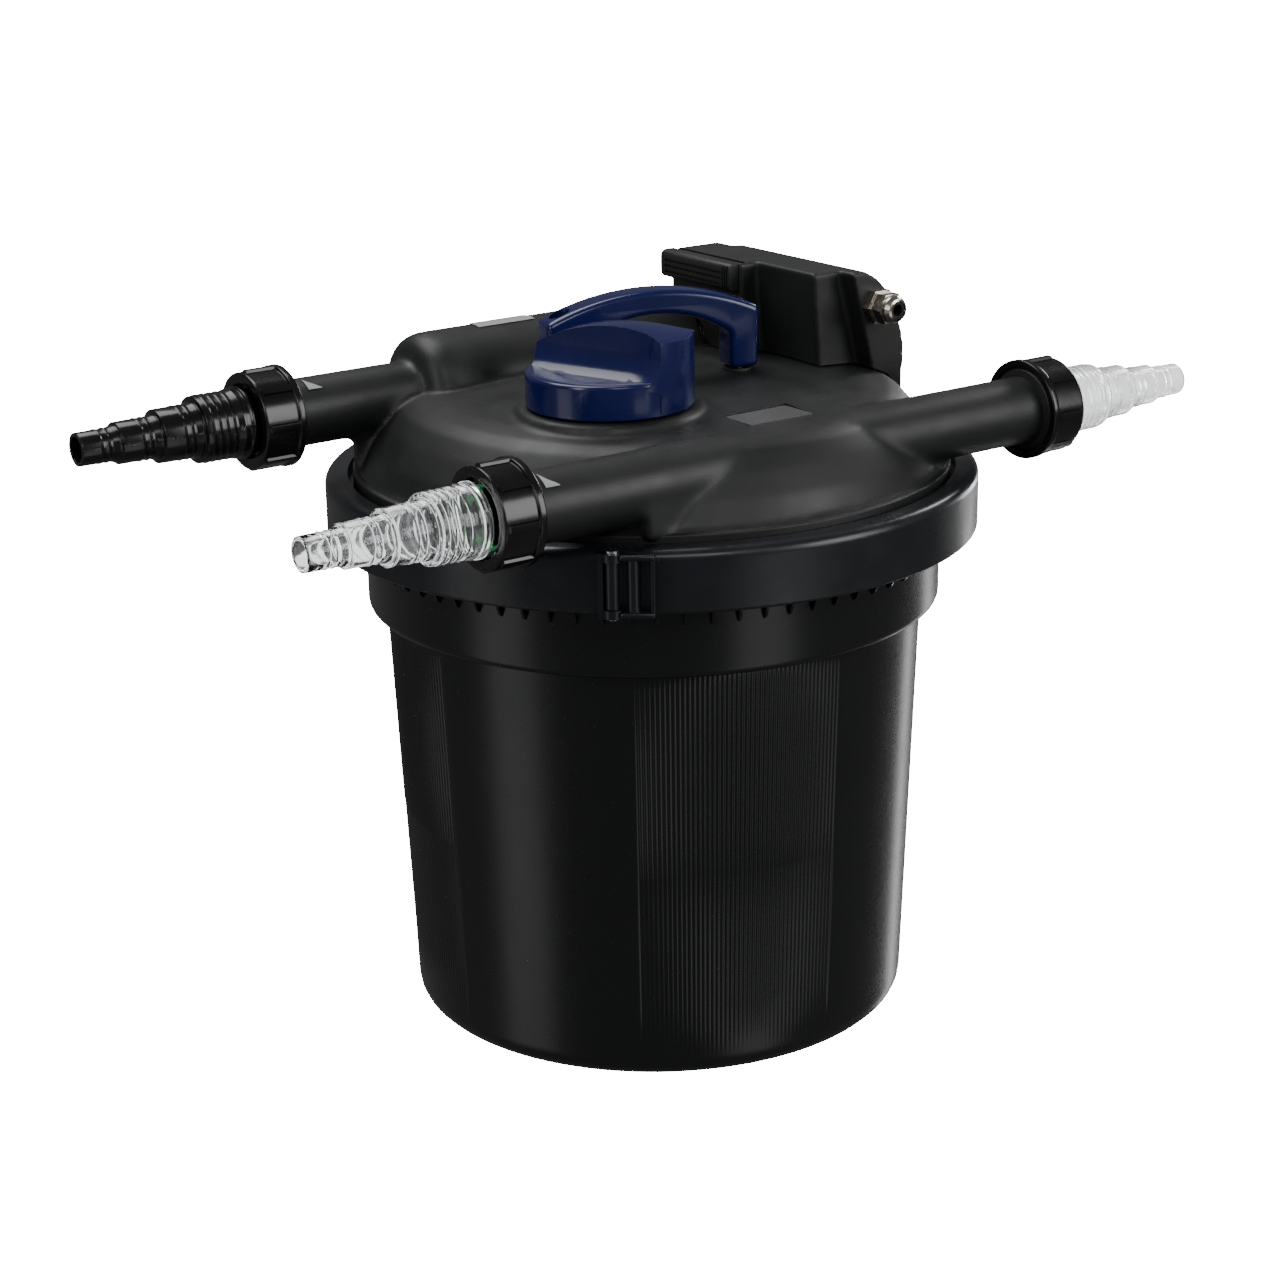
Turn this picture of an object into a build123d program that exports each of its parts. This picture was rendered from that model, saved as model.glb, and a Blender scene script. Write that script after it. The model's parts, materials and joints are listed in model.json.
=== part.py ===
from build123d import *
from math import cos, radians, sin, sqrt
import os

# Pressure pond filter: a drum of foam rings under a clamped lid, with a UV-C clarifier in the lid.
# Millimetres, +Z up. The origin is on the drum's axis, on the surface that the drum stands on.

# ---------------------------------------------------------------- driving dimensions
wall = 4.0                      # moulded wall of the lid and pipes
gap = 0.4                       # free space between pieces that move apart

drum_foot_r = 155.2             # drum radius at the floor
drum_top_r = 165.8              # drum radius under the collar
drum_corner_r = 12.0
drum_wall = 3.5
collar_r = 176.8
collar_z = 259.4                # lower edge of the collar
collar_edge_r = 4.5
flange_r = 190.0
drum_flange_z = (312.0, 322.0)
seal_z = (322.0, 324.2)
lid_flange_z = (324.2, 334.7)

ring_r = 200.0
ring_z = (305.3, 342.2)
ring_lip_r = 186.0
ring_top_edge_r = 6.0

latch_angle = -129.3            # place of the latch round the ring, degrees from +X
latch_pin_r = 2.5
latch_pin_at = (205.5, -9.5)    # outward and along the ring from the latch's centre line
latch_barrel_r = 4.8
latch_tip = 12.0                # end of the lever along the ring
latch_z = (306.0, 343.0)
latch_barrel_z = (311.4, 337.8)

dome_top = 394.0
dome_wall_r = 181.0
dome_curve = [(70, 394), (100, 393), (130, 391), (145, 388), (153, 384), (162, 374), (172, 360), (180, 343)]
dome_inner = [(70, 390), (100, 389), (129, 387), (142, 384.3), (149.8, 381), (158.6, 371.8), (168.4, 358.5),
              (176, 343)]

pipe_r = 20.5
pipe_bore_r = 16.0
thread_r = 25.6                 # threaded end of a pipe
thread_length = 16.0
outlet_y, outlet_z = -131.0, 370.0
inlet_y, inlet_z = 88.0, 386.0
outlet_end_x = 200.0            # both outlet pipes end this far from the drum's axis
inlet_end_x = 221.7

uv_r = 36.0                     # UV chamber, on the inlet's axis
uv_bore_r = 31.5
uv_x = (-130.0, 84.0)
uv_end_r = 20.0

nut_r = 29.0
nut_rib_r = 30.6
nut_length = 26.0
nut_lip = 3.6
nut_mouth_r = 22.4
nut_ribs = 8
tail_flange_r = 25.4
tail_flange = 4.0
gasket_thickness = 2.0
tail_steps = [(21.5, 12.0), (20.0, 25.0), (16.0, 25.0), (12.5, 25.0), (10.0, 24.0)]  # radius, length
tail_wall = 2.4
tail_barb = 0.9
tail_barb_length = 5.0

knob_at = (-65.0, -50.0)
knob_r = 49.6
knob_z = (397.6, 442.0)
knob_disc_top = 418.0
knob_angle = -65.0              # direction of the grip across the knob
grip_half = 10.5                # half thickness of the grip at its middle
scoop_r = 62.0
knob_boss_r = 53.4
shaft_r = 7.0

handle_angle = -14.5
handle_reach = 57.5             # each leg's centre from the drum's axis
handle_half_leg = 11.0
handle_half_width = 11.0
handle_z = (396.6, 434.0)
handle_peak = 449.0
handle_thick = 14.5
handle_inner_z = 419.0           # top of each leg's inner face
rod_r = 4.0
rod_low_z = 16.0
squeeze_z = (25.0, 31.0)
squeeze_r = 140.0
foam_z = (32.0, 272.0)
foam_rings = 4
foam_r = 136.0
foam_hole_r = 26.0
top_grid_z = (275.0, 281.0)
top_grid_r = 146.0
tube_r = 20.0
tube_wall = 2.5
tube_top = 330.0

valve_r = 42.0
valve_z = (300.0, 386.5)
port_z = 365.0
port_offset = 15.0
port_r = 11.0

label_at = (1.0, -115.0)
label_size = (45.0, 25.0)
label_z = 391.0

head_top = 451.0
head_low = 372.0                # the head's skirt reaches down to here outside the dome
head_wall = 3.0
head_clear = 0.6                # free height between the head and the dome
head_collar_r = 37.0
head_far_x = (84.4, 122.0)      # block over the end of the UV chamber
head_far_y = (19.0, 92.0)
head_front_x = (102.5, 97.0)    # front face of the long block, at its base and at its top
head_long_y = (-38.5, 74.0)
head_near_y = -52.5             # near end face, which carries the cable gland
head_near_x = 112.5
head_back = [(127.0, 451.0), (141.0, 441.0), (152.0, 423.0), (158.0, 402.0), (157.0, 384.0)]  # x, z
board_z = 408.0
button_y = (26.0, 78.0)
button_z = (430.0, 443.0)
button_proud = 4.0
gland_at = (135.0, head_near_y, 429.0)
cable_r = 3.6


# ---------------------------------------------------------------- helpers
def upright(x, y, z=0.0):
    return Plane(origin=(x, y, z), x_dir=(1, 0, 0), z_dir=(0, 0, 1))


def facing(x, y, z, direction):
    return Plane(origin=(x, y, z), x_dir=(0, 0, 1), z_dir=direction)


def turned(plane, *outline, mode=Mode.ADD):
    """Turn an outline of (radius, height) points round the plane's own z axis."""
    side = Plane(origin=plane.origin, x_dir=plane.x_dir, z_dir=-plane.y_dir)
    with BuildSketch(side) as section:
        with BuildLine():
            Polyline(*outline, close=True)
        make_face()
    revolve(section.sketch, axis=Axis(plane.origin, plane.z_dir), mode=mode)


def tube(plane, start, stop, outer, inner=0.0, mode=Mode.ADD):
    turned(plane, (inner, start), (outer, start), (outer, stop), (inner, stop), mode=mode)


def block(x, y, z, mode=Mode.ADD):
    """A box from its two limits on each axis."""
    with BuildSketch(Plane.XY.offset(z[0])) as section:
        with Locations(((x[0] + x[1]) / 2, (y[0] + y[1]) / 2)):
            Rectangle(x[1] - x[0], y[1] - y[0])
    extrude(section.sketch, amount=z[1] - z[0], mode=mode)


def prism(plane, start, stop, across_flats, mode=Mode.ADD):
    with BuildSketch(plane.offset(start)) as section:
        RegularPolygon(across_flats / 2, 6, major_radius=False)
    extrude(section.sketch, amount=stop - start, mode=mode)


def finish(piece, name):
    piece.part.label = name
    export_step(piece.part, f"parts/{name}.step")


os.makedirs("parts", exist_ok=True)
drum_axis = upright(0, 0)

# ---------------------------------------------------------------- drum, clamp ring and seal
with BuildPart() as drum:
    inner_top_r = drum_top_r - drum_wall
    turned(
        drum_axis,
        (0, 0), (drum_foot_r, 0), (drum_top_r, collar_z), (collar_r, collar_z),
        (collar_r, drum_flange_z[0]), (flange_r, drum_flange_z[0]), (flange_r, drum_flange_z[1]),
        (collar_r - wall, drum_flange_z[1]), (collar_r - wall, collar_z + wall),
        (inner_top_r, collar_z + wall), (drum_foot_r - drum_wall, drum_wall), (0, drum_wall),
    )
    fillet(drum.edges().group_by(Axis.Z)[0], drum_corner_r)
    for edge_z, edge_r in ((drum_wall, drum_corner_r - drum_wall), (collar_z, collar_edge_r)):
        circles = drum.edges().filter_by(GeomType.CIRCLE)
        at_height = circles.filter_by_position(Axis.Z, edge_z - 0.1, edge_z + 0.1)
        fillet(at_height.sort_by(SortBy.RADIUS)[-1], edge_r)
finish(drum, "drum")

with BuildPart() as lid_seal:
    tube(drum_axis, *seal_z, 187.0, 179.0)
finish(lid_seal, "lid_seal")

latch_plane = Plane(
    origin=(0, 0, 0), x_dir=(cos(radians(latch_angle)), sin(radians(latch_angle)), 0), z_dir=(0, 0, 1)
)
pin_plane = Plane(origin=latch_plane.from_local_coords((*latch_pin_at, 0)), x_dir=latch_plane.x_dir)

with BuildPart() as clamp_ring:
    channel_r = flange_r + 1.0
    turned(
        drum_axis,
        (collar_r + 1.4, ring_z[0]), (ring_r, ring_z[0]), (ring_r, ring_z[1]), (ring_lip_r, ring_z[1]),
        (ring_lip_r, lid_flange_z[1] + 0.3), (channel_r, lid_flange_z[1] + 0.3),
        (channel_r, drum_flange_z[0] - 0.3), (collar_r + 1.4, drum_flange_z[0] - 0.3),
    )
    for edge_z, edge_r in ((ring_z[1], ring_top_edge_r), (ring_z[0], 2.0)):
        circles = clamp_ring.edges().filter_by(GeomType.CIRCLE)
        at_height = circles.filter_by_position(Axis.Z, edge_z - 0.1, edge_z + 0.1)
        fillet(at_height.sort_by(SortBy.RADIUS)[-1], edge_r)
    with BuildSketch(latch_plane.offset(ring_z[0] - 1)) as split:
        with Locations((ring_r - 15, 4)):
            Rectangle(40, 5)
    extrude(split.sketch, amount=50, mode=Mode.SUBTRACT)
finish(clamp_ring, "clamp_ring")

# ---------------------------------------------------------------- ring latch
ear_r = latch_barrel_r + 0.7
with BuildPart() as latch_bracket:
    for low, high in ((latch_z[0], latch_barrel_z[0] - gap), (latch_barrel_z[1] + gap, latch_z[1])):
        with BuildSketch(latch_plane.offset(low)) as ear:
            with Locations(latch_pin_at):
                Circle(ear_r)
            with Locations((latch_pin_at[0] - 4, latch_pin_at[1] - 1.5)):
                Rectangle(8, 2 * ear_r - 3)
        extrude(ear.sketch, amount=high - low)
    with BuildSketch(latch_plane.offset(latch_z[0])) as post:
        with Locations((ring_r + 2, latch_pin_at[1] - ear_r - 1.0)):
            Rectangle(12, 3.0)
    extrude(post.sketch, amount=latch_z[1] - latch_z[0])
    tube(drum_axis, latch_z[0] - 5, latch_z[1] + 5, ring_r + 0.05, mode=Mode.SUBTRACT)
    tube(pin_plane, latch_z[0] - 1, latch_z[1] + 1, latch_pin_r, mode=Mode.SUBTRACT)
finish(latch_bracket, "latch_bracket")

with BuildPart() as latch_pin:
    tube(pin_plane, latch_z[0] - 1.2, latch_z[1] + 1.2, latch_pin_r)
    tube(pin_plane, latch_z[1] + 0.05, latch_z[1] + 1.6, latch_pin_r + 1.2)
finish(latch_pin, "latch_pin")

with BuildPart() as latch_lever:
    plate_from = latch_pin_at[1] + ear_r + 0.8
    with BuildSketch(latch_plane.offset(latch_z[0])) as plate:
        with BuildLine():
            back = ring_r + 0.7
            Polyline(
                (back, plate_from), (back + 5.5, plate_from), (back + 6.5, latch_tip - 5),
                (back + 9.5, latch_tip), (back + 7.0, latch_tip), (back, latch_tip - 2), close=True
            )
        make_face()
    extrude(plate.sketch, amount=latch_z[1] - latch_z[0])
    with BuildSketch(latch_plane.offset(latch_barrel_z[0])) as barrel:
        with Locations(latch_pin_at):
            Circle(latch_barrel_r)
        with Locations((latch_pin_at[0] - 0.8, latch_pin_at[1] + 5)):
            Rectangle(6.4, 10)
    extrude(barrel.sketch, amount=latch_barrel_z[1] - latch_barrel_z[0])
    with BuildSketch(latch_plane.offset((latch_z[0] + latch_z[1]) / 2 - 10)) as finger:
        with Locations((back + 7.5, 2.5)):
            Rectangle(6, 8)
    extrude(finger.sketch, amount=20, mode=Mode.SUBTRACT)
    tube(pin_plane, latch_z[0], latch_z[1], latch_pin_r + 0.05, mode=Mode.SUBTRACT)
finish(latch_lever, "latch_lever")

with BuildPart() as latch_strike:
    with BuildSketch(latch_plane.offset(latch_barrel_z[0])) as strike:
        with Locations((ring_r + 0.5, latch_tip + 2.8)):
            Rectangle(8, 4)
    extrude(strike.sketch, amount=latch_barrel_z[1] - latch_barrel_z[0])
    tube(drum_axis, latch_z[0] - 5, latch_z[1] + 5, ring_r + 0.05, mode=Mode.SUBTRACT)
finish(latch_strike, "latch_strike")

# ---------------------------------------------------------------- lid with its pipes and UV chamber
outlet_left = facing(0, outlet_y, outlet_z, (-1, 0, 0))
outlet_right = facing(0, outlet_y, outlet_z, (1, 0, 0))
inlet_axis = facing(0, inlet_y, inlet_z, (-1, 0, 0))
head_axis = facing(0, inlet_y, inlet_z, (1, 0, 0))
knob_axis = upright(*knob_at)
handle_plane = Plane(
    origin=(0, 0, 0), x_dir=(cos(radians(handle_angle)), sin(radians(handle_angle)), 0), z_dir=(0, 0, 1)
)
rod_points = [handle_plane.from_local_coords((side * handle_reach, 0, 0)) for side in (-1, 1)]
rod_axes = [upright(point.X, point.Y) for point in rod_points]
post_points = [(118, -12), (-125, 5), (5, -80)]


def dome(curve, low):
    """Solid body of revolution under a curve of (radius, height) points."""
    with BuildPart() as body:
        with BuildSketch(Plane.XZ) as section:
            with BuildLine():
                edge = Spline(*curve, tangents=[(1, 0), (0.4, -1)])
                rim_foot = (curve[-1][0], low)
                Polyline(edge @ 1, rim_foot, (0, low), (0, curve[0][1]), edge @ 0)
            make_face()
        revolve(section.sketch, axis=Axis.Z)
    return body.part


dome_outside = dome(dome_curve, lid_flange_z[0])
dome_inside = dome(dome_inner, lid_flange_z[0] - 1)

with BuildPart() as pipe_webs:
    block((-170, 170), (outlet_y - pipe_r, outlet_y + pipe_r - 6), (lid_flange_z[1], outlet_z))
    block((uv_x[0], uv_x[1]), (inlet_y - uv_r + 6, inlet_y + uv_r), (lid_flange_z[1], inlet_z))
    block((-185, uv_x[0]), (inlet_y - pipe_r, inlet_y + pipe_r), (lid_flange_z[1], inlet_z))
    tube(drum_axis, lid_flange_z[1], dome_top, dome_wall_r, mode=Mode.INTERSECT)
    add(dome_inside, mode=Mode.SUBTRACT)

trough_r = head_collar_r + 1.2
with BuildPart() as head_trough:
    tube(head_axis, uv_x[1] - wall, 178, trough_r + wall)
    add(dome_outside, mode=Mode.INTERSECT)

with BuildPart() as lid:
    add(dome_outside)
    tube(drum_axis, lid_flange_z[0], lid_flange_z[1], flange_r)
    tube(drum_axis, lid_flange_z[0], lid_flange_z[1] + 8, dome_wall_r)
    add(dome_inside, mode=Mode.SUBTRACT)
    add(pipe_webs.part)
    add(head_trough.part)
    tube(knob_axis, dome_top - wall, knob_z[0] - gap, knob_boss_r)
    tube(outlet_left, -outlet_end_x, outlet_end_x, pipe_r)
    for end in (outlet_left, outlet_right):
        tube(end, outlet_end_x - thread_length, outlet_end_x, thread_r)
    tube(inlet_axis, -uv_x[0] - 20, inlet_end_x, pipe_r)
    tube(inlet_axis, inlet_end_x - thread_length, inlet_end_x, thread_r)
    with BuildPart(mode=Mode.PRIVATE) as chamber:
        tube(head_axis, *uv_x, uv_r)
        fillet(chamber.edges().group_by(Axis.X)[0], uv_end_r)
    add(chamber.part)
    for side in (-1, 1):
        duct = Plane(origin=(knob_at[0] + side * port_offset, 0, port_z), x_dir=(1, 0, 0), z_dir=(0, -1, 0))
        tube(duct, 96, -outlet_y, port_r + 2.5)
        tube(duct, 90, -outlet_y, port_r, mode=Mode.SUBTRACT)
    tube(outlet_left, -knob_at[0] + 2, outlet_end_x + 1, pipe_bore_r, mode=Mode.SUBTRACT)
    tube(outlet_right, knob_at[0] + 2, outlet_end_x + 1, pipe_bore_r, mode=Mode.SUBTRACT)
    tube(inlet_axis, -uv_x[0] - 25, inlet_end_x + 1, pipe_bore_r, mode=Mode.SUBTRACT)
    tube(head_axis, uv_x[0] + 20, uv_x[1] + 1, uv_bore_r, mode=Mode.SUBTRACT)
    tube(head_axis, uv_x[1], 240, trough_r, mode=Mode.SUBTRACT)
    tube(upright(50, inlet_y), inlet_z - uv_r - 6, inlet_z - 20, 12, mode=Mode.SUBTRACT)
    block(
        (label_at[0] - label_size[0] / 2 - 1, label_at[0] + label_size[0] / 2 + 1),
        (label_at[1] - label_size[1] / 2 - 1, label_at[1] + label_size[1] / 2 + 1),
        (label_z, label_z + 6), mode=Mode.SUBTRACT
    )
    tube(knob_axis, dome_top - 10, knob_z[0], shaft_r + 3, mode=Mode.SUBTRACT)
    for axis in rod_axes:
        tube(axis, dome_top - 10, dome_top + 5, rod_r + 3, mode=Mode.SUBTRACT)
finish(lid, "lid")

with BuildPart() as label_plate:
    block(
        (label_at[0] - label_size[0] / 2, label_at[0] + label_size[0] / 2),
        (label_at[1] - label_size[1] / 2, label_at[1] + label_size[1] / 2),
        (label_z, label_z + 0.8)
    )
finish(label_plate, "label_plate")

# ---------------------------------------------------------------- union nuts, gaskets and hose tails
unions = {
    "outlet_left": facing(-outlet_end_x, outlet_y, outlet_z, (-1, 0, 0)),
    "outlet_right": facing(outlet_end_x, outlet_y, outlet_z, (1, 0, 0)),
    "inlet": facing(-inlet_end_x, inlet_y, inlet_z, (-1, 0, 0)),
}
tail_from = gasket_thickness
lip_from = tail_from + tail_flange + gap
nut_from = lip_from + nut_lip - nut_length


def union_nut(plane):
    with BuildPart() as nut:
        tube(plane, nut_from, lip_from, nut_r, thread_r + gap)
        tube(plane, lip_from, lip_from + nut_lip, nut_r, nut_mouth_r)
        tube(plane, nut_from, nut_from + 4.5, nut_rib_r, thread_r + gap)
        with BuildSketch(plane.offset(nut_from)) as ribs:
            with PolarLocations((nut_r + nut_rib_r) / 2, nut_ribs):
                Rectangle(nut_rib_r - nut_r + 0.6, 5.0)
        extrude(ribs.sketch, amount=nut_length - 1.5)
        tube(plane, nut_from - 1, lip_from, thread_r + gap, mode=Mode.SUBTRACT)
    return nut


def hose_tail(plane):
    """Flanged tail whose outside steps down to smaller hose sizes, hollow all the way."""
    outside = [(tail_flange_r, tail_from), (tail_flange_r, tail_from + tail_flange)]
    inside = []
    at = tail_from + tail_flange
    for radius, length in tail_steps:
        outside += [(radius, at), (radius, at + length)]
        inside += [(radius - tail_wall, at - tail_wall), (radius - tail_wall, at + length - tail_wall)]
        at += length
    inside[0] = (inside[0][0], tail_from)
    inside[-1] = (inside[-1][0], at)
    with BuildPart() as tail:
        turned(plane, *outside, *reversed(inside))
        at = tail_from + tail_flange + tail_steps[0][1]
        for radius, length in tail_steps[1:]:
            core = radius - 1
            end = at + tail_barb_length
            turned(plane, (core, at), (radius + tail_barb, at), (radius, end), (core, end))
            at += length
    return tail


for place, plane in unions.items():
    nut = union_nut(plane)
    finish(nut, f"{place}_union_nut")
    tail = hose_tail(plane)
    finish(tail, f"{place}_hose_tail")
    with BuildPart() as gasket:
        tube(plane, 0, gasket_thickness, tail_flange_r, pipe_bore_r)
    finish(gasket, f"{place}_gasket")

# ---------------------------------------------------------------- selector knob, shaft and valve
knob_side = Plane(
    origin=(*knob_at, 0),
    x_dir=(cos(radians(knob_angle)), sin(radians(knob_angle)), 0), z_dir=(0, 0, 1)
)
with BuildPart() as selector_knob:
    tube(knob_axis, *knob_z, knob_r)
    fillet(selector_knob.edges().group_by(Axis.Z)[-1], 3.0)
    with BuildSketch(knob_side.offset(knob_disc_top)) as scoops:
        with Locations((0, grip_half + scoop_r), (0, -grip_half - scoop_r)):
            Circle(scoop_r)
    extrude(scoops.sketch, amount=40, mode=Mode.SUBTRACT)
    tube(knob_axis, knob_z[0] - 1, knob_z[0] + 12, shaft_r, mode=Mode.SUBTRACT)
    tube(knob_axis, knob_z[0] - 1, knob_z[0] + 14, knob_r - 4, shaft_r + 6, mode=Mode.SUBTRACT)
finish(selector_knob, "selector_knob")

rotor_r = valve_r - 4.5
with BuildPart() as selector_shaft:
    tube(knob_axis, valve_z[0] + 42, knob_z[0] + 12, shaft_r - 0.02)
finish(selector_shaft, "selector_shaft")

with BuildPart() as shaft_seal:
    tube(knob_axis, dome_top - 3, dome_top + 1, shaft_r + 3, shaft_r + 0.05)
finish(shaft_seal, "shaft_seal")

with BuildPart() as valve_rotor:
    tube(knob_axis, valve_z[0] + 40, valve_z[1] - 9, rotor_r, rotor_r - 3)
    tube(knob_axis, valve_z[1] - 9, valve_z[1] - 5, rotor_r, shaft_r + 0.02)
    tube(knob_axis, valve_z[0] + 42, valve_z[1] - 9, shaft_r + 4, shaft_r + 0.02)
    block(
        (knob_at[0] - port_offset - port_r, knob_at[0] - port_offset + port_r),
        (knob_at[1] - valve_r, knob_at[1] - shaft_r - 6), (port_z - port_r, port_z + port_r),
        mode=Mode.SUBTRACT
    )
finish(valve_rotor, "valve_rotor")

with BuildPart() as rotor_screw:
    tube(knob_axis, valve_z[0] + 38, valve_z[0] + 42, 9)
    prism(knob_axis, valve_z[0] + 35, valve_z[0] + 38, 10)
finish(rotor_screw, "rotor_screw")

duct_length = sqrt(knob_at[0] ** 2 + knob_at[1] ** 2)
duct_direction = (-knob_at[0] / duct_length, -knob_at[1] / duct_length, 0)
duct_axis = Plane(origin=(*knob_at, valve_z[0] + 20), x_dir=(0, 0, 1), z_dir=duct_direction)
with BuildPart() as valve_body:
    tube(knob_axis, *valve_z, valve_r)
    tube(duct_axis, 0, duct_length, 16)
    tube(drum_axis, valve_z[0] + 2, valve_z[0] + 38, tube_r + 4)
    tube(knob_axis, valve_z[0] + 3, valve_z[1] - 4, valve_r - 4, mode=Mode.SUBTRACT)
    tube(knob_axis, valve_z[1] - 5, valve_z[1] + 1, shaft_r + 1, mode=Mode.SUBTRACT)
    tube(duct_axis, 20, duct_length, 13, mode=Mode.SUBTRACT)
    tube(drum_axis, valve_z[0] - 1, tube_top + 0.2, tube_r, mode=Mode.SUBTRACT)
    for side in (-1, 1):
        duct = Plane(origin=(knob_at[0] + side * port_offset, 0, port_z), x_dir=(1, 0, 0), z_dir=(0, -1, 0))
        tube(duct, -knob_at[1] + 10, 130, port_r, mode=Mode.SUBTRACT)
finish(valve_body, "valve_body")

# ---------------------------------------------------------------- handle, rods and squeeze plate
with BuildPart() as handle:
    half = handle_reach + handle_half_leg
    inner = handle_reach - handle_half_leg
    side_plane = Plane(origin=(0, 0, 0), x_dir=handle_plane.x_dir, z_dir=-handle_plane.y_dir)
    with BuildSketch(side_plane) as arch:
        with BuildLine():
            outer_arc = ThreePointArc((-half, handle_z[1]), (0, handle_peak), (half, handle_z[1]))
            Polyline((half, handle_z[1]), (half, handle_z[0]), (inner, handle_z[0]), (inner, handle_inner_z))
            ThreePointArc((inner, handle_inner_z), (0, handle_peak - handle_thick), (-inner, handle_inner_z))
            Polyline((-inner, handle_inner_z), (-inner, handle_z[0]), (-half, handle_z[0]), (-half, handle_z[1]))
        make_face()
    extrude(arch.sketch, amount=handle_half_width, both=True)
    fillet(handle.edges().filter_by(GeomType.CIRCLE).sort_by(Axis.Z)[-2:], 3.5)
    for axis in rod_axes:
        tube(axis, handle_z[0] - 1, handle_z[0] + 18, rod_r, mode=Mode.SUBTRACT)
        tube(axis, handle_z[0] + 17, 450, 2.4, mode=Mode.SUBTRACT)
        tube(axis, 426, 450, 6.0, mode=Mode.SUBTRACT)
finish(handle, "handle")

with BuildPart() as handle_screws:
    for axis in rod_axes:
        tube(axis, 426.1, 429.6, 4.6)
        tube(axis, handle_z[0] + 18, 426.2, 2.2)
        prism(axis, 427.6, 431, 5, mode=Mode.SUBTRACT)
finish(handle_screws, "handle_screws")

with BuildPart() as pull_rods:
    for axis in rod_axes:
        tube(axis, rod_low_z, handle_z[0] + 18, rod_r)
finish(pull_rods, "pull_rods")

with BuildPart() as rod_bushes:
    for axis in rod_axes:
        tube(axis, 386, dome_top + 0.2, rod_r + 3, rod_r + 0.06)
        tube(axis, dome_top + 0.2, dome_top + 1.6, rod_r + 5, rod_r + 0.06)
finish(rod_bushes, "rod_bushes")

with BuildPart() as rod_nuts:
    for axis in rod_axes:
        prism(axis, squeeze_z[0] - 5.0, squeeze_z[0], 13)
        tube(axis, squeeze_z[0] - 6, squeeze_z[0] + 1, rod_r, mode=Mode.SUBTRACT)
finish(rod_nuts, "rod_nuts")


def grid_disc(outer, hub, low, high, spokes):
    """Round grid of rings and spokes."""
    with BuildPart() as disc:
        tube(drum_axis, low, high, outer, outer - 8)
        tube(drum_axis, low, high, hub + 8, hub)
        tube(drum_axis, low, high, 0.46 * outer + 13, 0.46 * outer - 9)
        tube(drum_axis, low, high, 0.8 * outer + 4, 0.8 * outer - 4)
        with BuildSketch(Plane.XY.offset(low)) as bars:
            with PolarLocations((outer + hub) / 2, spokes):
                Rectangle(outer - hub - 6, 6)
        extrude(bars.sketch, amount=high - low)
    return disc


squeeze_plate = grid_disc(squeeze_r, tube_r + 1.5, *squeeze_z, 12)
with BuildPart() as bottom_plate:
    add(squeeze_plate.part)
    for axis in rod_axes:
        tube(axis, *squeeze_z, rod_r + 6)
        tube(axis, squeeze_z[0] - 1, squeeze_z[1] + 1, rod_r, mode=Mode.SUBTRACT)
finish(bottom_plate, "squeeze_plate")

upper_grid = grid_disc(top_grid_r, tube_r + 0.2, *top_grid_z, 12)
with BuildPart() as top_grid:
    add(upper_grid.part)
    for axis in rod_axes:
        tube(axis, *top_grid_z, rod_r + 7)
        tube(axis, top_grid_z[0] - 1, top_grid_z[1] + 1, rod_r + 1, mode=Mode.SUBTRACT)
    for x, y in post_points:
        tube(upright(x, y), *top_grid_z, 9)
finish(top_grid, "top_grid")

with BuildPart() as grid_posts:
    for x, y in post_points:
        tube(upright(x, y), top_grid_z[1], 386.5, 6, 3.2)
finish(grid_posts, "grid_posts")

with BuildPart() as centre_tube:
    tube(drum_axis, drum_wall + 0.1, tube_top, tube_r, tube_r - tube_wall)
    tube(drum_axis, tube_top - 3, tube_top, tube_r)
    slot_rows = range(5)
    for row in slot_rows:
        for spin in (0, 90):
            slot_plane = Plane(
                origin=(0, 0, 55 + 45 * row),
                x_dir=(sin(radians(spin)), cos(radians(spin)), 0),
                z_dir=(cos(radians(spin)), -sin(radians(spin)), 0)
            )
            with BuildSketch(slot_plane) as slot:
                Rectangle(8, 30)
            extrude(slot.sketch, amount=tube_r + 2, both=True, mode=Mode.SUBTRACT)
    into_tube = tuple(-part for part in duct_direction)
    duct_mouth = Plane(origin=(0, 0, valve_z[0] + 20), x_dir=(0, 0, 1), z_dir=into_tube)
    tube(duct_mouth, 0, tube_r + 2, 12, mode=Mode.SUBTRACT)
finish(centre_tube, "centre_tube")

foam_height = (foam_z[1] - foam_z[0]) / foam_rings
for ring in range(foam_rings):
    low = foam_z[0] + ring * foam_height
    with BuildPart() as foam:
        tube(drum_axis, low + 0.2, low + foam_height - 0.2, foam_r, foam_hole_r)
        for axis in rod_axes:
            tube(axis, low - 1, low + foam_height + 1, rod_r + 2, mode=Mode.SUBTRACT)
    finish(foam, f"foam_ring_{ring + 1}")

# ---------------------------------------------------------------- UV lamp and quartz sleeve
with BuildPart() as quartz_sleeve:
    turned(
        head_axis,
        (0, -90), (14.5, -90), (14.5, 78), (17, 78), (17, 81), (13, 81), (13, -88), (0, -88),
    )
finish(quartz_sleeve, "quartz_sleeve")

with BuildPart() as sleeve_seal:
    tube(head_axis, 73, 78, 19.0, 14.5)
finish(sleeve_seal, "sleeve_seal")

with BuildPart() as sleeve_holder:
    tube(head_axis, 73, 83.6, uv_bore_r, 19.0)
    tube(head_axis, 81, 83.6, 19.5, 14.0)
    tube(head_axis, 70, 73, uv_bore_r, 14.7)
finish(sleeve_holder, "sleeve_holder")

with BuildPart() as uv_lamp:
    for side in (-1, 1):
        lamp_axis = facing(0, inlet_y, inlet_z + side * 6.2, (1, 0, 0))
        tube(lamp_axis, -70, 88, 5.4)
    tube(head_axis, 66, 88, 12.2)
finish(uv_lamp, "uv_lamp")

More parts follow.
